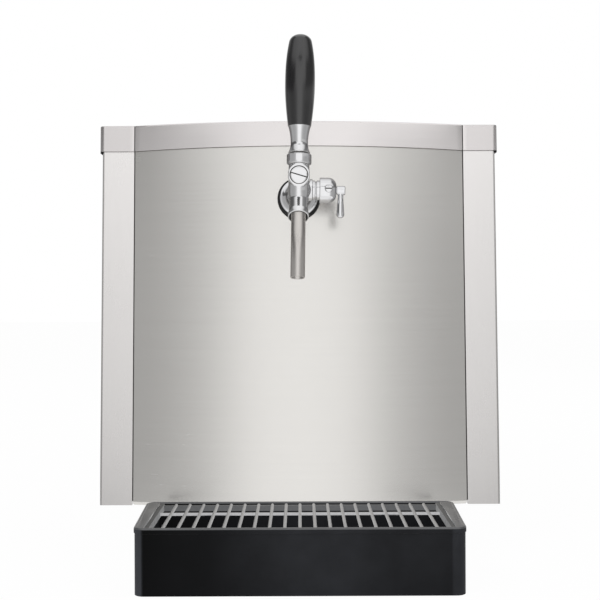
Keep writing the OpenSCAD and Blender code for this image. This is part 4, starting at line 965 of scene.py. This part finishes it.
def brushed_steel(name, tone, along, roughness, strength=None, painted_light=None):
    """Stainless sheet. along is the grain's stretch on X, Y and Z; painted_light, if given, is
    painted light and shade along an axis.
    """
    if strength is None:
        strength = bpy.context.scene.cooler_steel.grain
    material, tree, shader, at = new_material(name)
    grain = place_group(tree, brushed_grain(), stretched(tree, at, along), Tone=rgba(tone),
                        Roughness=roughness, Strength=strength).outputs
    wiped = place_group(tree, hand_smudges(), at, Amount=0.08)
    tree.links.new(grain["Roughness"], wiped.inputs["Roughness"])
    finish_with(tree, shader, painted_light_along(tree, at, grain["Color"], painted_light), wiped.outputs["Roughness"],
                grain["Height"], (0.00002, 0.4), 1.0)
    return material


def polished_chrome(name, tone, roughness):
    """Bright plating, with painted shade that darkens its colour where it turns away from the eye.
    """
    material, tree, shader, at = new_material(name)
    cast = place_group(tree, mottled_metal(), at, Tone=rgba(tone), Size=260.0,
                       Roughness=roughness, Amount=0.03).outputs
    wiped = place_group(tree, hand_smudges(), at, Amount=0.05)
    tree.links.new(cast["Roughness"], wiped.inputs["Roughness"])
    turned_away = node(tree, "ShaderNodeLayerWeight").outputs["Facing"]
    # Painted shade: the colour falls to 0.16 where the surface turns away from the eye
    painted_edge_shade = spread(tree, turned_away, 0.3, 0.95, 1.0, 0.16)
    finish_with(tree, shader, tint(tree, cast["Color"], painted_edge_shade), wiped.outputs["Roughness"],
                cast["Height"], (0.00003, 0.3), 1.0)
    return material


def plain_metal(name, tone, roughness, size=140.0, amount=0.15):
    material, tree, shader, at = new_material(name)
    metal = place_group(tree, mottled_metal(), at, Tone=rgba(tone), Size=size,
                        Roughness=roughness, Amount=amount).outputs
    finish_with(tree, shader, metal["Color"], metal["Roughness"], metal["Height"],
                (0.00003, 0.5), 1.0)
    return material


def moulded(name, tone, roughness, size, bump=0.00004, coat=0.0, specular=0.5, painted_light=None):
    material, tree, shader, at = new_material(name)
    skin = place_group(tree, moulded_skin(), at, Tone=rgba(tone), Size=size,
                       Roughness=roughness).outputs
    finish_with(tree, shader, painted_light_along(tree, at, skin["Color"], painted_light), skin["Roughness"],
                skin["Height"], (bump, 0.4))
    shader.inputs["Specular IOR Level"].default_value = specular
    shader.inputs["Coat Weight"].default_value = coat
    shader.inputs["Coat Roughness"].default_value = 0.12
    return material


def painted(name, tone, roughness, size=300.0):
    """Enamel, or foam with its uneven skin."""
    material, tree, shader, at = new_material(name)
    paint = place_group(tree, mottled_metal(), at, Tone=rgba(tone), Size=size,
                        Roughness=roughness, Amount=0.12).outputs
    finish_with(tree, shader, paint["Color"], paint["Roughness"], paint["Height"],
                (0.00005, 0.5))
    return material


FINISHES = {}


def finishes():
    """Every finish of the cooler, made once."""
    if FINISHES:
        return FINISHES
    steel = bpy.context.scene.cooler_steel
    tap = bpy.context.scene.cooler_tap
    tray = bpy.context.scene.cooler_tray
    FINISHES.update(
        panel=brushed_steel("Panel Steel", steel.panel_tone, (30.0, 6.0, 2600.0), 0.25),
        # The wall, lid and tray finishes carry painted light and shade as slow changes of tone
        wall=brushed_steel("Wall Steel", steel.wall_tone, (2400.0, 2400.0, 26.0), 0.26,
                           painted_light=WALL_PAINTED_SHADE),
        lid=brushed_steel("Lid Steel", steel.lid_tone, (30.0, 8.0, 2600.0), 0.22, painted_light=LID_PAINTED_LIGHT),
        lid_top=brushed_steel("Lid Top Steel", steel.lid_tone, (26.0, 2400.0, 8.0), 0.34),
        back=brushed_steel("Back Steel", steel.wall_tone, (26.0, 2400.0, 2400.0), 0.4),
        chrome=polished_chrome("Tap Chrome", tap.chrome_tone, tap.chrome_roughness),
        # Painted shade: a dark grey metal for the insides of slots, seats, seams and the nut's
        # dome, where shade falls
        recess=plain_metal("Painted Recess Shade", (0.09, 0.088, 0.085), 0.5, 300.0, 0.2),
        tube=brushed_steel("Drawn Tube", tap.tube_tone, (900.0, 900.0, 40.0), 0.28, 0.12),
        satin=plain_metal("Satin Stainless", (0.62, 0.61, 0.6), 0.3),
        zinc=plain_metal("Zinc Plating", (0.52, 0.54, 0.56), 0.42, 90.0, 0.22),
        copper=plain_metal("Drawn Copper", (0.72, 0.36, 0.22), 0.3, 110.0, 0.25),
        brass=plain_metal("Turned Brass", (0.72, 0.56, 0.3), 0.28, 110.0, 0.15),
        aluminium=plain_metal("Fin Aluminium", (0.68, 0.69, 0.7), 0.36, 180.0, 0.16),
        handle=moulded("Handle Plastic", tap.handle_tone, 0.27, 400.0, 0.000004, coat=1.0),
        tray=moulded("Tray Plastic", tray.plastic_tone, 0.52, 1300.0, 0.00003,
                     specular=0.07, painted_light=TRAY_PAINTED_LIGHT),
        wire_end=plain_metal("Grille End Bar", (0.13, 0.132, 0.136), 0.4, 300.0, 0.2),
        seam=moulded("Seam Seal", (0.11, 0.106, 0.1), 0.6, 900.0),
        # Painted highlight: a lighter, glossier black for the tray's upward rim faces and its
        # ledges
        tray_rim=moulded("Rim Plastic Painted Highlight", (0.042, 0.043, 0.047), 0.3, 1300.0, 0.00002,
                         coat=0.5, specular=0.8),
        knob=moulded("Knob Plastic", (0.018, 0.018, 0.02), 0.4, 1200.0),
        rubber=moulded("Rubber", (0.014, 0.014, 0.014), 0.7, 1500.0, 0.00003, specular=0.3),
        wire=plain_metal("Grille Wire", tray.wire_tone, 0.36, 300.0, 0.2),
        black_paint=painted("Compressor Enamel", (0.014, 0.014, 0.016), 0.32),
        foam=painted("Insulating Foam", (0.86, 0.83, 0.72), 0.85, 260.0),
        liner=moulded("Cover Plastic", (0.05, 0.052, 0.056), 0.5, 700.0),
        white=moulded("White Plastic", (0.8, 0.8, 0.78), 0.4, 800.0),
        hose=moulded("Beer Hose", (0.74, 0.76, 0.73), 0.3, 500.0, 0.00001),
        bright_fan=plain_metal("Fan Blade Sheet", (0.6, 0.6, 0.62), 0.34, 160.0, 0.15),
    )
    return FINISHES


# The finish of every CAD node, also of those that a dressed piece stands for
NODE_FINISH = {
    "satin": ["shank", "shank_nut", "beer_coil", "bath_tank", "agitator_shaft",
              "lever_stem", "lever_pin", "drain_stub", "panel_screws"],
    "zinc": ["base_pan", "tray_bracket", "fan_shroud"],
    "copper": ["evaporator_coil", "refrigerant_lines", "filter_dryer"],
    "aluminium": ["condenser"],
    "seam": ["seam_seals"],
    "rubber": ["foot_pads", "lid_seal", "compressor_mounts",
               "piston_seal", "spout_seal", "tap_gasket"],
    "knob": ["filler_cap", "agitator_motor", "thermostat", "thermostat_knob",
             "power_switch", "rocker", "mains_inlet", "drain_cap", "fan_motor"],
    "black_paint": ["compressor", "legs"],
    "foam": ["bath_insulation"],
    "liner": ["bath_cover"],
    "white": ["piston", "compensator_cone"],
    "hose": ["beer_line_in", "beer_line_out"],
    "bright_fan": ["fan_blade"],
    "brass": ["beer_inlet"],
    "chrome": ["rosette", "tap_body", "front_plug", "collar_nut", "ferrule",
               "compensator_housing", "compensator_screw", "compensator_lever"],
    "tube": ["spout_tube"],
    "handle": ["handle"],
    "panel": ["front_panel"],
    "wall": ["side_wall_left", "side_wall_right"],
    "lid": ["lid"],
    "back": ["rear_panel"],
    "tray": ["drip_tray"],
    "wire": ["drip_grille"],
}

# Sheets, and fittings with their rounding in millimetres, that a rounded copy stands for
SHEETS = ["front_panel", "side_wall_left", "side_wall_right", "rear_panel", "base_pan",
          "tray_bracket"]
FITTINGS = {
    "legs": 0.8, "foot_pads": 0.6, "panel_screws": 0.2, "thermostat_knob": 0.3,
    "power_switch": 0.4, "rocker": 0.3, "mains_inlet": 0.3, "beer_inlet": 0.3,
    "drain_stub": 0.2, "drain_cap": 0.4, "filler_cap": 0.4, "bath_cover": 0.4,
    "fan_shroud": 0.2, "thermostat": 0.3,
}


# Operators, one for each group of pieces and one for the stage


def above(height):
    """A test for places higher than a height in metres."""
    return lambda at: at.z > height


def looks_up(face):
    return face.normal.z > 0.7


def in_lid_seam(face):
    """Tells the faces inside the V seams between the lid's rim and its end caps."""
    inside_caps = 0.19
    return abs(face.normal.x) > 0.5 and face.normal.y < -0.4 and abs(face.center.x) < inside_caps


class COOLER_OT_lid(bpy.types.Operator):
    """Finishes the folded lid: rounded bends, a grain for rim and top with painted light and shade
    along the rim, and a black strip of painted shade under its edge
    """

    bl_idname = "cooler.lid"
    bl_label = "Lid"

    def execute(self, context):
        edge = context.scene.cooler_steel.edge
        low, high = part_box("lid")
        shade_strip = lid_gap_shade_strip(low[2])
        lid = copied("lid")
        round_bends(lid, edge, 3, above(high[2] - 0.5 * MM))
        even_shading(smooth(lid))
        dress(lid, finishes()["lid"], "lid", "lid", slot="brushed_steel")
        second_finish(lid, finishes()["lid_top"], looks_up)
        # Painted shade in the lid's V seams
        second_finish(lid, finishes()["recess"], in_lid_seam)
        # The strip is painted shade: black where the gap under the lid's rim lies in shadow
        dress(shade_strip, finishes()["rubber"], "lid", slot="rubber")
        return {"FINISHED"}


def lid_gap_shade_strip(bottom):
    """A black strip drawn down from the lid's lowest faces: painted shade for the gap under the
    lid's rim, in the rubber finish.
    """
    shade_strip = copied("lid", "lid_edge_trim")
    highest = bottom + 0.2 * MM
    pick(shade_strip, "FACE", lambda face: face.normal.z > -0.9 or face.center.z > highest)
    bpy.ops.mesh.delete(type="FACE")
    bpy.ops.mesh.select_all(action="SELECT")
    bpy.ops.mesh.extrude_region_move(TRANSFORM_OT_translate={"value": (0, 0, -SHADE_STRIP_H * MM)})
    close_mesh()
    return outside(shade_strip)


class COOLER_OT_shell(bpy.types.Operator):
    """Finishes the cabinet's sheets, their edges rounded a quarter as much as the lid's"""

    bl_idname = "cooler.shell"
    bl_label = "Cabinet Sheets"

    def execute(self, context):
        quarter = context.scene.cooler_steel.edge / 4
        for node in SHEETS:
            softened(node, quarter)
        return {"FINISHED"}


class COOLER_OT_handle(bpy.types.Operator):
    """Turns the black handle, bored for its stem"""

    bl_idname = "cooler.handle"
    bl_label = "Handle"

    def execute(self, context):
        grip = turned("handle_grip", handle_profile(), upright(COLLAR_TOP + FERRULE_H), 96)
        dress(smooth(grip, 50), finishes()["handle"], "tap_lever", "handle", slot="black_gloss")
        return {"FINISHED"}


class COOLER_OT_ferrule(bpy.types.Operator):
    """Turns the waisted ferrule and the collar nut with its key flats"""

    bl_idname = "cooler.ferrule"
    bl_label = "Ferrule and Collar Nut"

    def execute(self, context):
        chrome = finishes()["chrome"]
        sleeve = turned("ferrule_sleeve", ferrule_profile(), upright(COLLAR_TOP + FIT), 96,
                        closed=True)
        dress(smooth(sleeve, 40), chrome, "tap_lever", "ferrule", slot="chrome")
        nut = turned("ball_nut", collar_profile(), upright(PIVOT_H), 96, closed=True)
        out = BARREL_NUT_D / 2
        for flat in range(6):
            combine(nut, block("key_flat", (out - 0.35, -3.4, COLLAR_Z + 2.2),
                               (out + 2, 3.4, COLLAR_TOP - 2.8),
                               upright() @ turn(30 + 60 * flat, "Z")), "DIFFERENCE")
        dress(smooth(nut, 25), chrome, "cabinet", "collar_nut", slot="chrome")
        # Painted shade on the nut's dome, under the ferrule
        dome = COLLAR_TOP - 1.9
        standing = upright().inverted()
        second_finish(nut, finishes()["recess"],
                      lambda face: (standing @ face.center).z > dome * MM)
        return {"FINISHED"}


class COOLER_OT_tap_body(bpy.types.Operator):
    """Casts and bores the tap's body"""

    bl_idname = "cooler.tap_body"
    bl_label = "Tap Body"

    def execute(self, context):
        body = tap_casting(context.scene.cooler_tap.blend)
        dress(body, finishes()["chrome"], "cabinet", "tap_body", slot="chrome")
        # Painted shade inside the plug's seat and the spout's socket
        second_finish(body, finishes()["recess"], inside_seats)
        return {"FINISHED"}


class COOLER_OT_front_plug(bpy.types.Operator):
    """Turns the slotted plug that closes the valve's bore"""

    bl_idname = "cooler.front_plug"
    bl_label = "Front Plug"

    def execute(self, context):
        r, face, rim = PLUG_D / 2, BOSS_OUT - 0.2, BOSS_OUT - 2.1
        profile = [(7, BOSS_OUT - 4.2), (7, rim), (r, rim), (r, face - 0.9),
                   (r - 0.25, face - 0.35), (r - 0.9, face - 0.05), (r - 1.6, face)]
        plug = turned("slotted_plug", profile, outward(0, PLUG_H), 96)
        slotted(plug, outward(face, PLUG_H), PLUG_D + 2, 1.2, 1.1, -16)
        dress(smooth(plug, 40), finishes()["chrome"], "cabinet", "front_plug", slot="chrome")
        # Painted shade in the plug's slot and on its sides inside the boss
        second_finish(plug, finishes()["recess"], behind(outward(0, PLUG_H), face - 0.75))
        return {"FINISHED"}


class COOLER_OT_compensator(bpy.types.Operator):
    """Makes the domed side housing, its slotted screw and its teardrop lever"""

    bl_idname = "cooler.compensator"
    bl_label = "Compensator"

    def execute(self, context):
        chrome = finishes()["chrome"]
        dress(compensator_dome(), chrome, "cabinet", "compensator_housing", slot="chrome")
        screw = turned("dial_screw", [(4, 0), (4, 2.7), (3.7, 3.15), (3.1, 3.4)],
                       on_compensator(DIAL_X, COMP_D / 2 - 3.35), 64)
        slotted(screw, on_compensator(DIAL_X, COMP_D / 2 + 0.05), 6.2, 1.2, 1.15)
        dress(smooth(screw, 40), chrome, "cabinet", "compensator_screw", slot="chrome")
        # Painted shade in the screw's slot and on its sunk sides
        second_finish(screw, finishes()["recess"],
                      behind(on_compensator(DIAL_X, 0), COMP_D / 2 - 0.9))
        dress(teardrop_lever(), chrome, "compensator", "compensator_lever", slot="chrome")
        return {"FINISHED"}


class COOLER_OT_rosette(bpy.types.Operator):
    """Turns the rosette and its black gasket"""

    bl_idname = "cooler.rosette"
    bl_label = "Rosette and Gasket"

    def execute(self, context):
        flange = turned("wall_rosette", rosette_profile(), outward(GASKET_T + 0.04), 128,
                        closed=True)
        dress(smooth(flange, 35), finishes()["chrome"], "cabinet", "rosette", slot="chrome")
        ring = turned("wall_gasket", gasket_profile(), outward(0.02, -GASKET_DROP), 128,
                      closed=True)
        dress(smooth(ring, 40), finishes()["rubber"], "cabinet", "tap_gasket", slot="rubber")
        return {"FINISHED"}


class COOLER_OT_spout(bpy.types.Operator):
    """Draws the spout's tube, open at both ends"""

    bl_idname = "cooler.spout"
    bl_label = "Spout"

    def execute(self, context):
        out, bore, tall = SPOUT_D / 2, SPOUT_D / 2 - 1, SOCKET_DEPTH + SPOUT_LEN
        profile = [(bore, 0), (out - 0.2, 0), (out, 0.3), (out, tall - 0.35),
                   (out - 0.12, tall - 0.1), (out - 0.4, tall), (bore + 0.25, tall),
                   (bore, tall - 0.25)]
        tube = turned("pouring_tube", profile, down_spout(SPOUT_BOSS_L - SOCKET_DEPTH + RUN),
                      96, closed=True)
        dress(smooth(tube, 35), finishes()["tube"], "cabinet", "spout_tube", slot="stainless")
        return {"FINISHED"}


# The dressed grille, in millimetres: the cross bar that is cut away lies at this
# share of the depth from the back, and the end and rear bars are this wide
CUT_BAR_AT = 0.64
CUT_BAR_X = 137.0
CUT_BAR_W = 3.4
CUT_BAR_Z = (54.9, 58.2)
END_BAR_W = 4.0
REAR_BAR_W = 3.7

# The ledges at the tray's ends, in millimetres: from the grille, from the tray's
# outside, from its front and back, under its top, their height and front slant
LEDGE_GAP = 0.9
LEDGE_OUTER = 2.5
LEDGE_ENDS = 3.4
LEDGE_DROP = 0.35
LEDGE_H = 2.2
LEDGE_SLANT = 5.0


class COOLER_OT_drip_tray(bpy.types.Operator):
    """Finishes the moulded tray, adds its ledges and finishes the grille in it"""

    bl_idname = "cooler.drip_tray"
    bl_label = "Drip Tray and Grille"

    def execute(self, context):
        low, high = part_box("drip_tray")
        tray = copied("drip_tray")
        round_bends(tray, context.scene.cooler_tray.edge, 3, above(high[2] - 0.2 * MM))
        even_shading(smooth(round_edges(tray, 0.3 * MM)))
        dress(tray, finishes()["tray"], "tray", "drip_tray")
        # Painted highlight: the tray's upward rim faces get a lighter, glossier black
        rim = high[2] - 3 * MM
        second_finish(tray, finishes()["tray_rim"],
                      lambda face: face.normal.z > 0.05 and face.center.z > rim)
        # The ledges take the same painted highlight finish
        for side, name in ((-1, "tray_ledge_left"), (1, "tray_ledge_right")):
            dress(tray_ledge(name, side, low, high), finishes()["tray_rim"], "tray",
                  slot="black_plastic")
        grille_low, grille_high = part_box("drip_grille")
        grille = copied("drip_grille")
        back = grille_high[1] / MM
        bar = back - CUT_BAR_AT * (back - grille_low[1] / MM)
        combine(grille, block("cut_bar", (-CUT_BAR_X, bar - CUT_BAR_W / 2, CUT_BAR_Z[0]),
                              (CUT_BAR_X, bar + CUT_BAR_W / 2, CUT_BAR_Z[1]),
                              Matrix.Identity(4)), "DIFFERENCE")
        even_shading(smooth(round_edges(grille, 0.35 * MM)))
        dress(grille, finishes()["wire"], "grille", "drip_grille")
        end, rear = grille_high[0] - END_BAR_W * MM, (back - REAR_BAR_W) * MM
        second_finish(grille, finishes()["wire_end"],
                      lambda face: abs(face.center.x) > end or face.center.y > rear)
        return {"FINISHED"}


def tray_ledge(name, side, low, high):
    """The moulded shelf between a short wall's rim and the grille's end bar."""
    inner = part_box("drip_grille")[1][0] / MM + LEDGE_GAP
    outer = high[0] / MM - LEDGE_OUTER
    front, rear = low[1] / MM + LEDGE_ENDS, high[1] / MM - LEDGE_ENDS
    top = high[2] / MM - LEDGE_DROP
    ledge = block(name, (inner, front, top - LEDGE_H), (outer, rear, top), Matrix.Identity(4))
    pick(ledge, "VERT", lambda at: at.x > (outer - 1) * MM and at.y < (front + 1) * MM)
    bpy.ops.transform.translate(value=(-LEDGE_SLANT * MM, 0, 0))
    close_mesh()
    if side < 0:
        place(ledge, Matrix.Diagonal((-1, 1, 1, 1)))
        outside(ledge)
    return smooth(round_edges(ledge, 0.6 * MM))


class COOLER_OT_fittings(bpy.types.Operator):
    """Finishes the fittings on the back, the legs and their pads"""

    bl_idname = "cooler.fittings"
    bl_label = "Rear Fittings and Legs"

    def execute(self, context):
        for node, width in FITTINGS.items():
            softened(node, width * MM)
        return {"FINISHED"}


class COOLER_OT_node_finishes(bpy.types.Operator):
    """Gives every CAD node its finish"""

    bl_idname = "cooler.node_finishes"
    bl_label = "Finish Inner Parts"

    def execute(self, context):
        for finish, nodes in NODE_FINISH.items():
            for node in nodes:
                materials = frame["nodes"][node].data.materials
                materials.clear()
                materials.append(finishes()[finish])
        return {"FINISHED"}


class COOLER_OT_stage(bpy.types.Operator):
    """Sets the floor, the light tent with its black card, the lamps and the camera"""

    bl_idname = "cooler.stage"
    bl_label = "Stage"

    def execute(self, context):
        setup = context.scene.cooler_stage
        build_floor(setup)
        build_tent()
        build_flag()
        for name in UNMIRRORED:
            bpy.data.objects[name].visible_glossy = False
        build_world()
        build_lamps(setup)
        build_camera(setup)
        context.scene.view_settings.view_transform = "Standard"
        return {"FINISHED"}


WHITE = (1, 1, 1, 1)
BLACK = (0.01, 0.01, 0.01, 1)
# Share of white that hides the lit floor where it is seen, and the world's light
FLOOR_VEIL = 0.97
WORLD_LIGHT = 0.62
# Pieces that show in no reflection, as in the photograph
UNMIRRORED = ["handle_grip", "ferrule_sleeve", "ball_nut", "tap_casting", "slotted_plug",
              "pouring_tube", "drip_tray_finished", "drip_grille_finished"]


def seen_directly(tree):
    """1 for rays from the camera, from a mirror or through glass, else 0."""
    path = node(tree, "ShaderNodeLightPath").outputs
    sharp = math_node(tree, "MAXIMUM", path["Is Glossy Ray"], path["Is Transmission Ray"])
    return math_node(tree, "MAXIMUM", path["Is Camera Ray"], sharp)


def mix_shaders(tree, factor, first, second, out):
    blend = node(tree, "ShaderNodeMixShader")
    tree.links.new(factor, blend.inputs["Fac"])
    tree.links.new(first.outputs[0], blend.inputs[1])
    tree.links.new(second.outputs[0], blend.inputs[2])
    tree.links.new(blend.outputs[0], out.inputs["Surface"])


def build_floor(setup):
    deselect()
    bpy.ops.mesh.primitive_plane_add(size=24.0, location=(0, 0, 0))
    floor = named("floor")
    material = bpy.data.materials.new("Pale Floor")
    tree = bare_tree(material)
    lit = node(tree, "ShaderNodeBsdfDiffuse")
    lit.inputs["Color"].default_value = rgba(setup.floor_tone)
    white = node(tree, "ShaderNodeEmission")
    white.inputs["Strength"].default_value = 1.0
    mix_shaders(tree, times(tree, seen_directly(tree), FLOOR_VEIL), lit, white,
                node(tree, "ShaderNodeOutputMaterial"))
    floor.data.materials.append(material)


# Grey of the light tent by direction from the front in degrees, left below 0
TENT_RIGHT = [(0, 1.12), (13, 1.08), (25, 0.7), (36, 0.52), (46, 0.47), (62, 0.43),
              (98, 0.45), (116, 0.2), (150, 0.4), (180, 0.6)]
TENT_LEFT = [(-degrees, grey) for degrees, grey in reversed(TENT_RIGHT[1:])]
# The changes higher up: height and length of the change in metres, then the grey.
# First the right is lighter, then both sides are dark, the left most, and at the
# top only the far sides are dark
TENT_CHANGES = [
    (0.84, 0.06, TENT_LEFT + [(0, 1.12), (13, 1.08), (25, 0.72), (36, 0.64), (62, 0.58),
                              (98, 0.45), (180, 0.6)]),
    (1.12, 0.06, [(-180, 0.6), (-150, 0.3), (-118, 0.12), (-60, 0.12), (-48, 0.16),
                  (-44, 0.5), (-25, 0.72), (-13, 1.08), (0, 1.12), (13, 1.08), (25, 0.66),
                  (36, 0.4), (46, 0.25), (98, 0.2), (116, 0.15), (180, 0.6)]),
    (1.3, 0.1, [(-180, 0.6), (-150, 0.3), (-118, 0.12), (-50, 0.12), (-40, 0.16),
                (-28, 1.0), (0, 1.12), (36, 1.05), (48, 0.3), (98, 0.2), (116, 0.14),
                (180, 0.6)]),
    (1.7, 0.3, [(-180, 0.8), (-125, 0.4), (-105, 0.2), (-84, 0.25), (-64, 0.8),
                (-10, 1.1), (38, 1.05), (64, 0.8), (84, 0.25), (105, 0.2), (125, 0.4),
                (180, 0.8)]),
]
TENT_R = 3.0
TENT_H = 6.0
TENT_LIFT = 0.004
TENT_HOLE = 0.45


def tent_wall():
    """Paints the tent by height and direction."""
    material = bpy.data.materials.new("Tent Wall")
    tree = bare_tree(material)
    parts = node(tree, "ShaderNodeSeparateXYZ")
    tree.links.new(node(tree, "ShaderNodeTexCoord").outputs["Object"], parts.inputs[0])
    front = times(tree, parts.outputs["Y"], -1.0)
    angle = math_node(tree, "ARCTAN2", parts.outputs["X"], front)
    share = spread(tree, angle, -math.pi, math.pi, 0.0, 1.0)

    def greys(stops):
        return grey_ramp(tree, share, [((degrees + 180) / 360, grey) for degrees, grey in stops])

    grey = greys(TENT_LEFT + TENT_RIGHT)
    for height, length, stops in TENT_CHANGES:
        change = node(tree, "ShaderNodeMix", data_type="RGBA")
        tree.links.new(spread(tree, parts.outputs["Z"], height, height + length, 0.0, 1.0),
                       change.inputs["Factor"])
        tree.links.new(grey, change.inputs["A"])
        tree.links.new(greys(stops), change.inputs["B"])
        grey = change.outputs["Result"]
    glow = node(tree, "ShaderNodeEmission")
    tree.links.new(grey, glow.inputs["Color"])
    out = node(tree, "ShaderNodeOutputMaterial")
    tree.links.new(glow.outputs[0], out.inputs["Surface"])
    return material


def reflected_only(obj):
    """Keeps a card or wall of the studio out of all but the reflections."""
    obj.visible_camera = False
    obj.visible_diffuse = False
    obj.visible_shadow = False
    obj.visible_transmission = False


def build_tent():
    """A round tent whose bright and grey walls and floor give the steel its
    soft gradient and the chrome its streaks."""
    deselect()
    bpy.ops.mesh.primitive_cylinder_add(
        vertices=96, radius=TENT_R, depth=TENT_H, end_fill_type="NOTHING",
        location=(0, 0, TENT_H / 2 + TENT_LIFT))
    tent = freeze(named("light_tent"))
    pick(tent, "VERT", lambda at: at.z < 0.1)
    bpy.ops.mesh.extrude_region_move(TRANSFORM_OT_translate={"value": (0, 0, 0)})
    inward = TENT_HOLE / TENT_R
    bpy.ops.transform.resize(value=(inward, inward, 1), center_override=(0, 0, 0))
    close_mesh()
    tent.data.materials.append(tent_wall())
    reflected_only(tent)


# The black card high behind the camera: middle, width and height in metres, and
# how narrow its lower end is
FLAG_AT = (0.02, -2.6, 1.845)
FLAG_W = 2.3
FLAG_H = 0.17
FLAG_NARROW = 0.12


def build_flag():
    """An upright black card that draws a dark streak in the chrome."""
    black = bpy.data.materials.new("Flag Cloth")
    black.use_nodes = True
    shader = black.node_tree.nodes["Principled BSDF"]
    shader.inputs["Base Color"].default_value = BLACK
    shader.inputs["Roughness"].default_value = 1.0
    shader.inputs["Specular IOR Level"].default_value = 0.0
    deselect()
    bpy.ops.mesh.primitive_plane_add(size=1.0, location=FLAG_AT, rotation=(math.radians(90), 0, 0))
    flag = freeze(named("streak_flag"))
    pick(flag, "VERT", lambda at: True)
    bpy.ops.transform.resize(value=(FLAG_W, 1, FLAG_H), center_override=FLAG_AT)
    close_mesh()
    pick(flag, "VERT", lambda at: at.z < FLAG_AT[2])
    bpy.ops.transform.resize(value=(FLAG_NARROW, 1, 1), center_override=FLAG_AT)
    close_mesh()
    flag.data.materials.append(black)
    reflected_only(flag)


def build_world():
    """White where it is seen or mirrored, and a softer light for all else."""
    world = bpy.data.worlds.new("Studio")
    bpy.context.scene.world = world
    tree = bare_tree(world)
    shades = []
    for strength in (WORLD_LIGHT, 1.0):
        shade = node(tree, "ShaderNodeBackground")
        shade.inputs["Color"].default_value = WHITE
        shade.inputs["Strength"].default_value = strength
        shades.append(shade)
    mix_shaders(tree, seen_directly(tree), *shades, node(tree, "ShaderNodeOutputWorld"))


# The soft lamps: name, place, side in metres and share of the lamp power
LAMPS = [
    ("main_lamp", (-1.3, -1.9, 1.9), 1.6, 1.0),
    ("fill_lamp", (1.7, -1.5, 1.4), 1.6, 0.55),
    ("rear_lamp", (0.3, 2.0, 2.2), 1.8, 0.6),
]
LAMP_TARGET = Vector((0, 0, 0.25))


def build_lamps(setup):
    for name, spot, side, share in LAMPS:
        light = bpy.data.lights.new(name, "AREA")
        light.shape = "SQUARE"
        light.size = side
        light.energy = setup.lamp_power * share
        lamp = bpy.data.objects.new(name, light)
        bpy.context.scene.collection.objects.link(lamp)
        lamp.location = spot
        aim = (LAMP_TARGET - Vector(spot)).to_track_quat("-Z", "Y")
        lamp.rotation_euler = aim.to_euler()
        lamp.visible_glossy = False


def build_camera(setup):
    data = bpy.data.cameras.new("camera")
    data.lens = setup.lens
    data.sensor_width = 36.0
    camera = bpy.data.objects.new("camera", data)
    bpy.context.scene.collection.objects.link(camera)
    camera.location = (setup.camera_side, FRONT_Y * MM - setup.camera_away, setup.camera_height)
    camera.rotation_euler = (math.radians(90), setup.camera_roll, 0)
    bpy.context.scene.camera = camera


class COOLER_PT_panel(bpy.types.Panel):
    """Lists the cooler's operators and settings"""

    bl_idname = "COOLER_PT_panel"
    bl_label = "Draft Beer Cooler"
    bl_space_type = "VIEW_3D"
    bl_region_type = "UI"
    bl_category = "Beer Cooler"

    def draw(self, context):
        layout = self.layout
        for settings in SETTINGS:
            box = layout.box()
            held = getattr(context.scene, settings)
            for name in held.__annotations__:
                box.prop(held, name)
        for operator in OPERATORS:
            layout.operator(operator.bl_idname)


SETTINGS = {
    "cooler_steel": CoolerSteel,
    "cooler_tap": CoolerTap,
    "cooler_tray": CoolerTray,
    "cooler_stage": CoolerStage,
}
OPERATORS = [
    COOLER_OT_lid, COOLER_OT_shell, COOLER_OT_handle, COOLER_OT_ferrule, COOLER_OT_tap_body,
    COOLER_OT_front_plug, COOLER_OT_compensator, COOLER_OT_rosette, COOLER_OT_spout,
    COOLER_OT_drip_tray, COOLER_OT_fittings, COOLER_OT_node_finishes, COOLER_OT_stage,
]


def register():
    for cls in (*SETTINGS.values(), *OPERATORS, COOLER_PT_panel):
        bpy.utils.register_class(cls)
    for name, cls in SETTINGS.items():
        setattr(bpy.types.Scene, name, bpy.props.PointerProperty(type=cls))


def unregister():
    for name in SETTINGS:
        delattr(bpy.types.Scene, name)
    for cls in (COOLER_PT_panel, *reversed(OPERATORS), *SETTINGS.values()):
        bpy.utils.unregister_class(cls)


def main():
    register()
    bpy.ops.cooler.lid()
    bpy.ops.cooler.shell()
    bpy.ops.cooler.handle()
    bpy.ops.cooler.ferrule()
    bpy.ops.cooler.tap_body()
    bpy.ops.cooler.front_plug()
    bpy.ops.cooler.compensator()
    bpy.ops.cooler.rosette()
    bpy.ops.cooler.spout()
    bpy.ops.cooler.drip_tray()
    bpy.ops.cooler.fittings()
    bpy.ops.cooler.node_finishes()
    bpy.ops.cooler.stage()


if __name__ == "__main__":
    main()
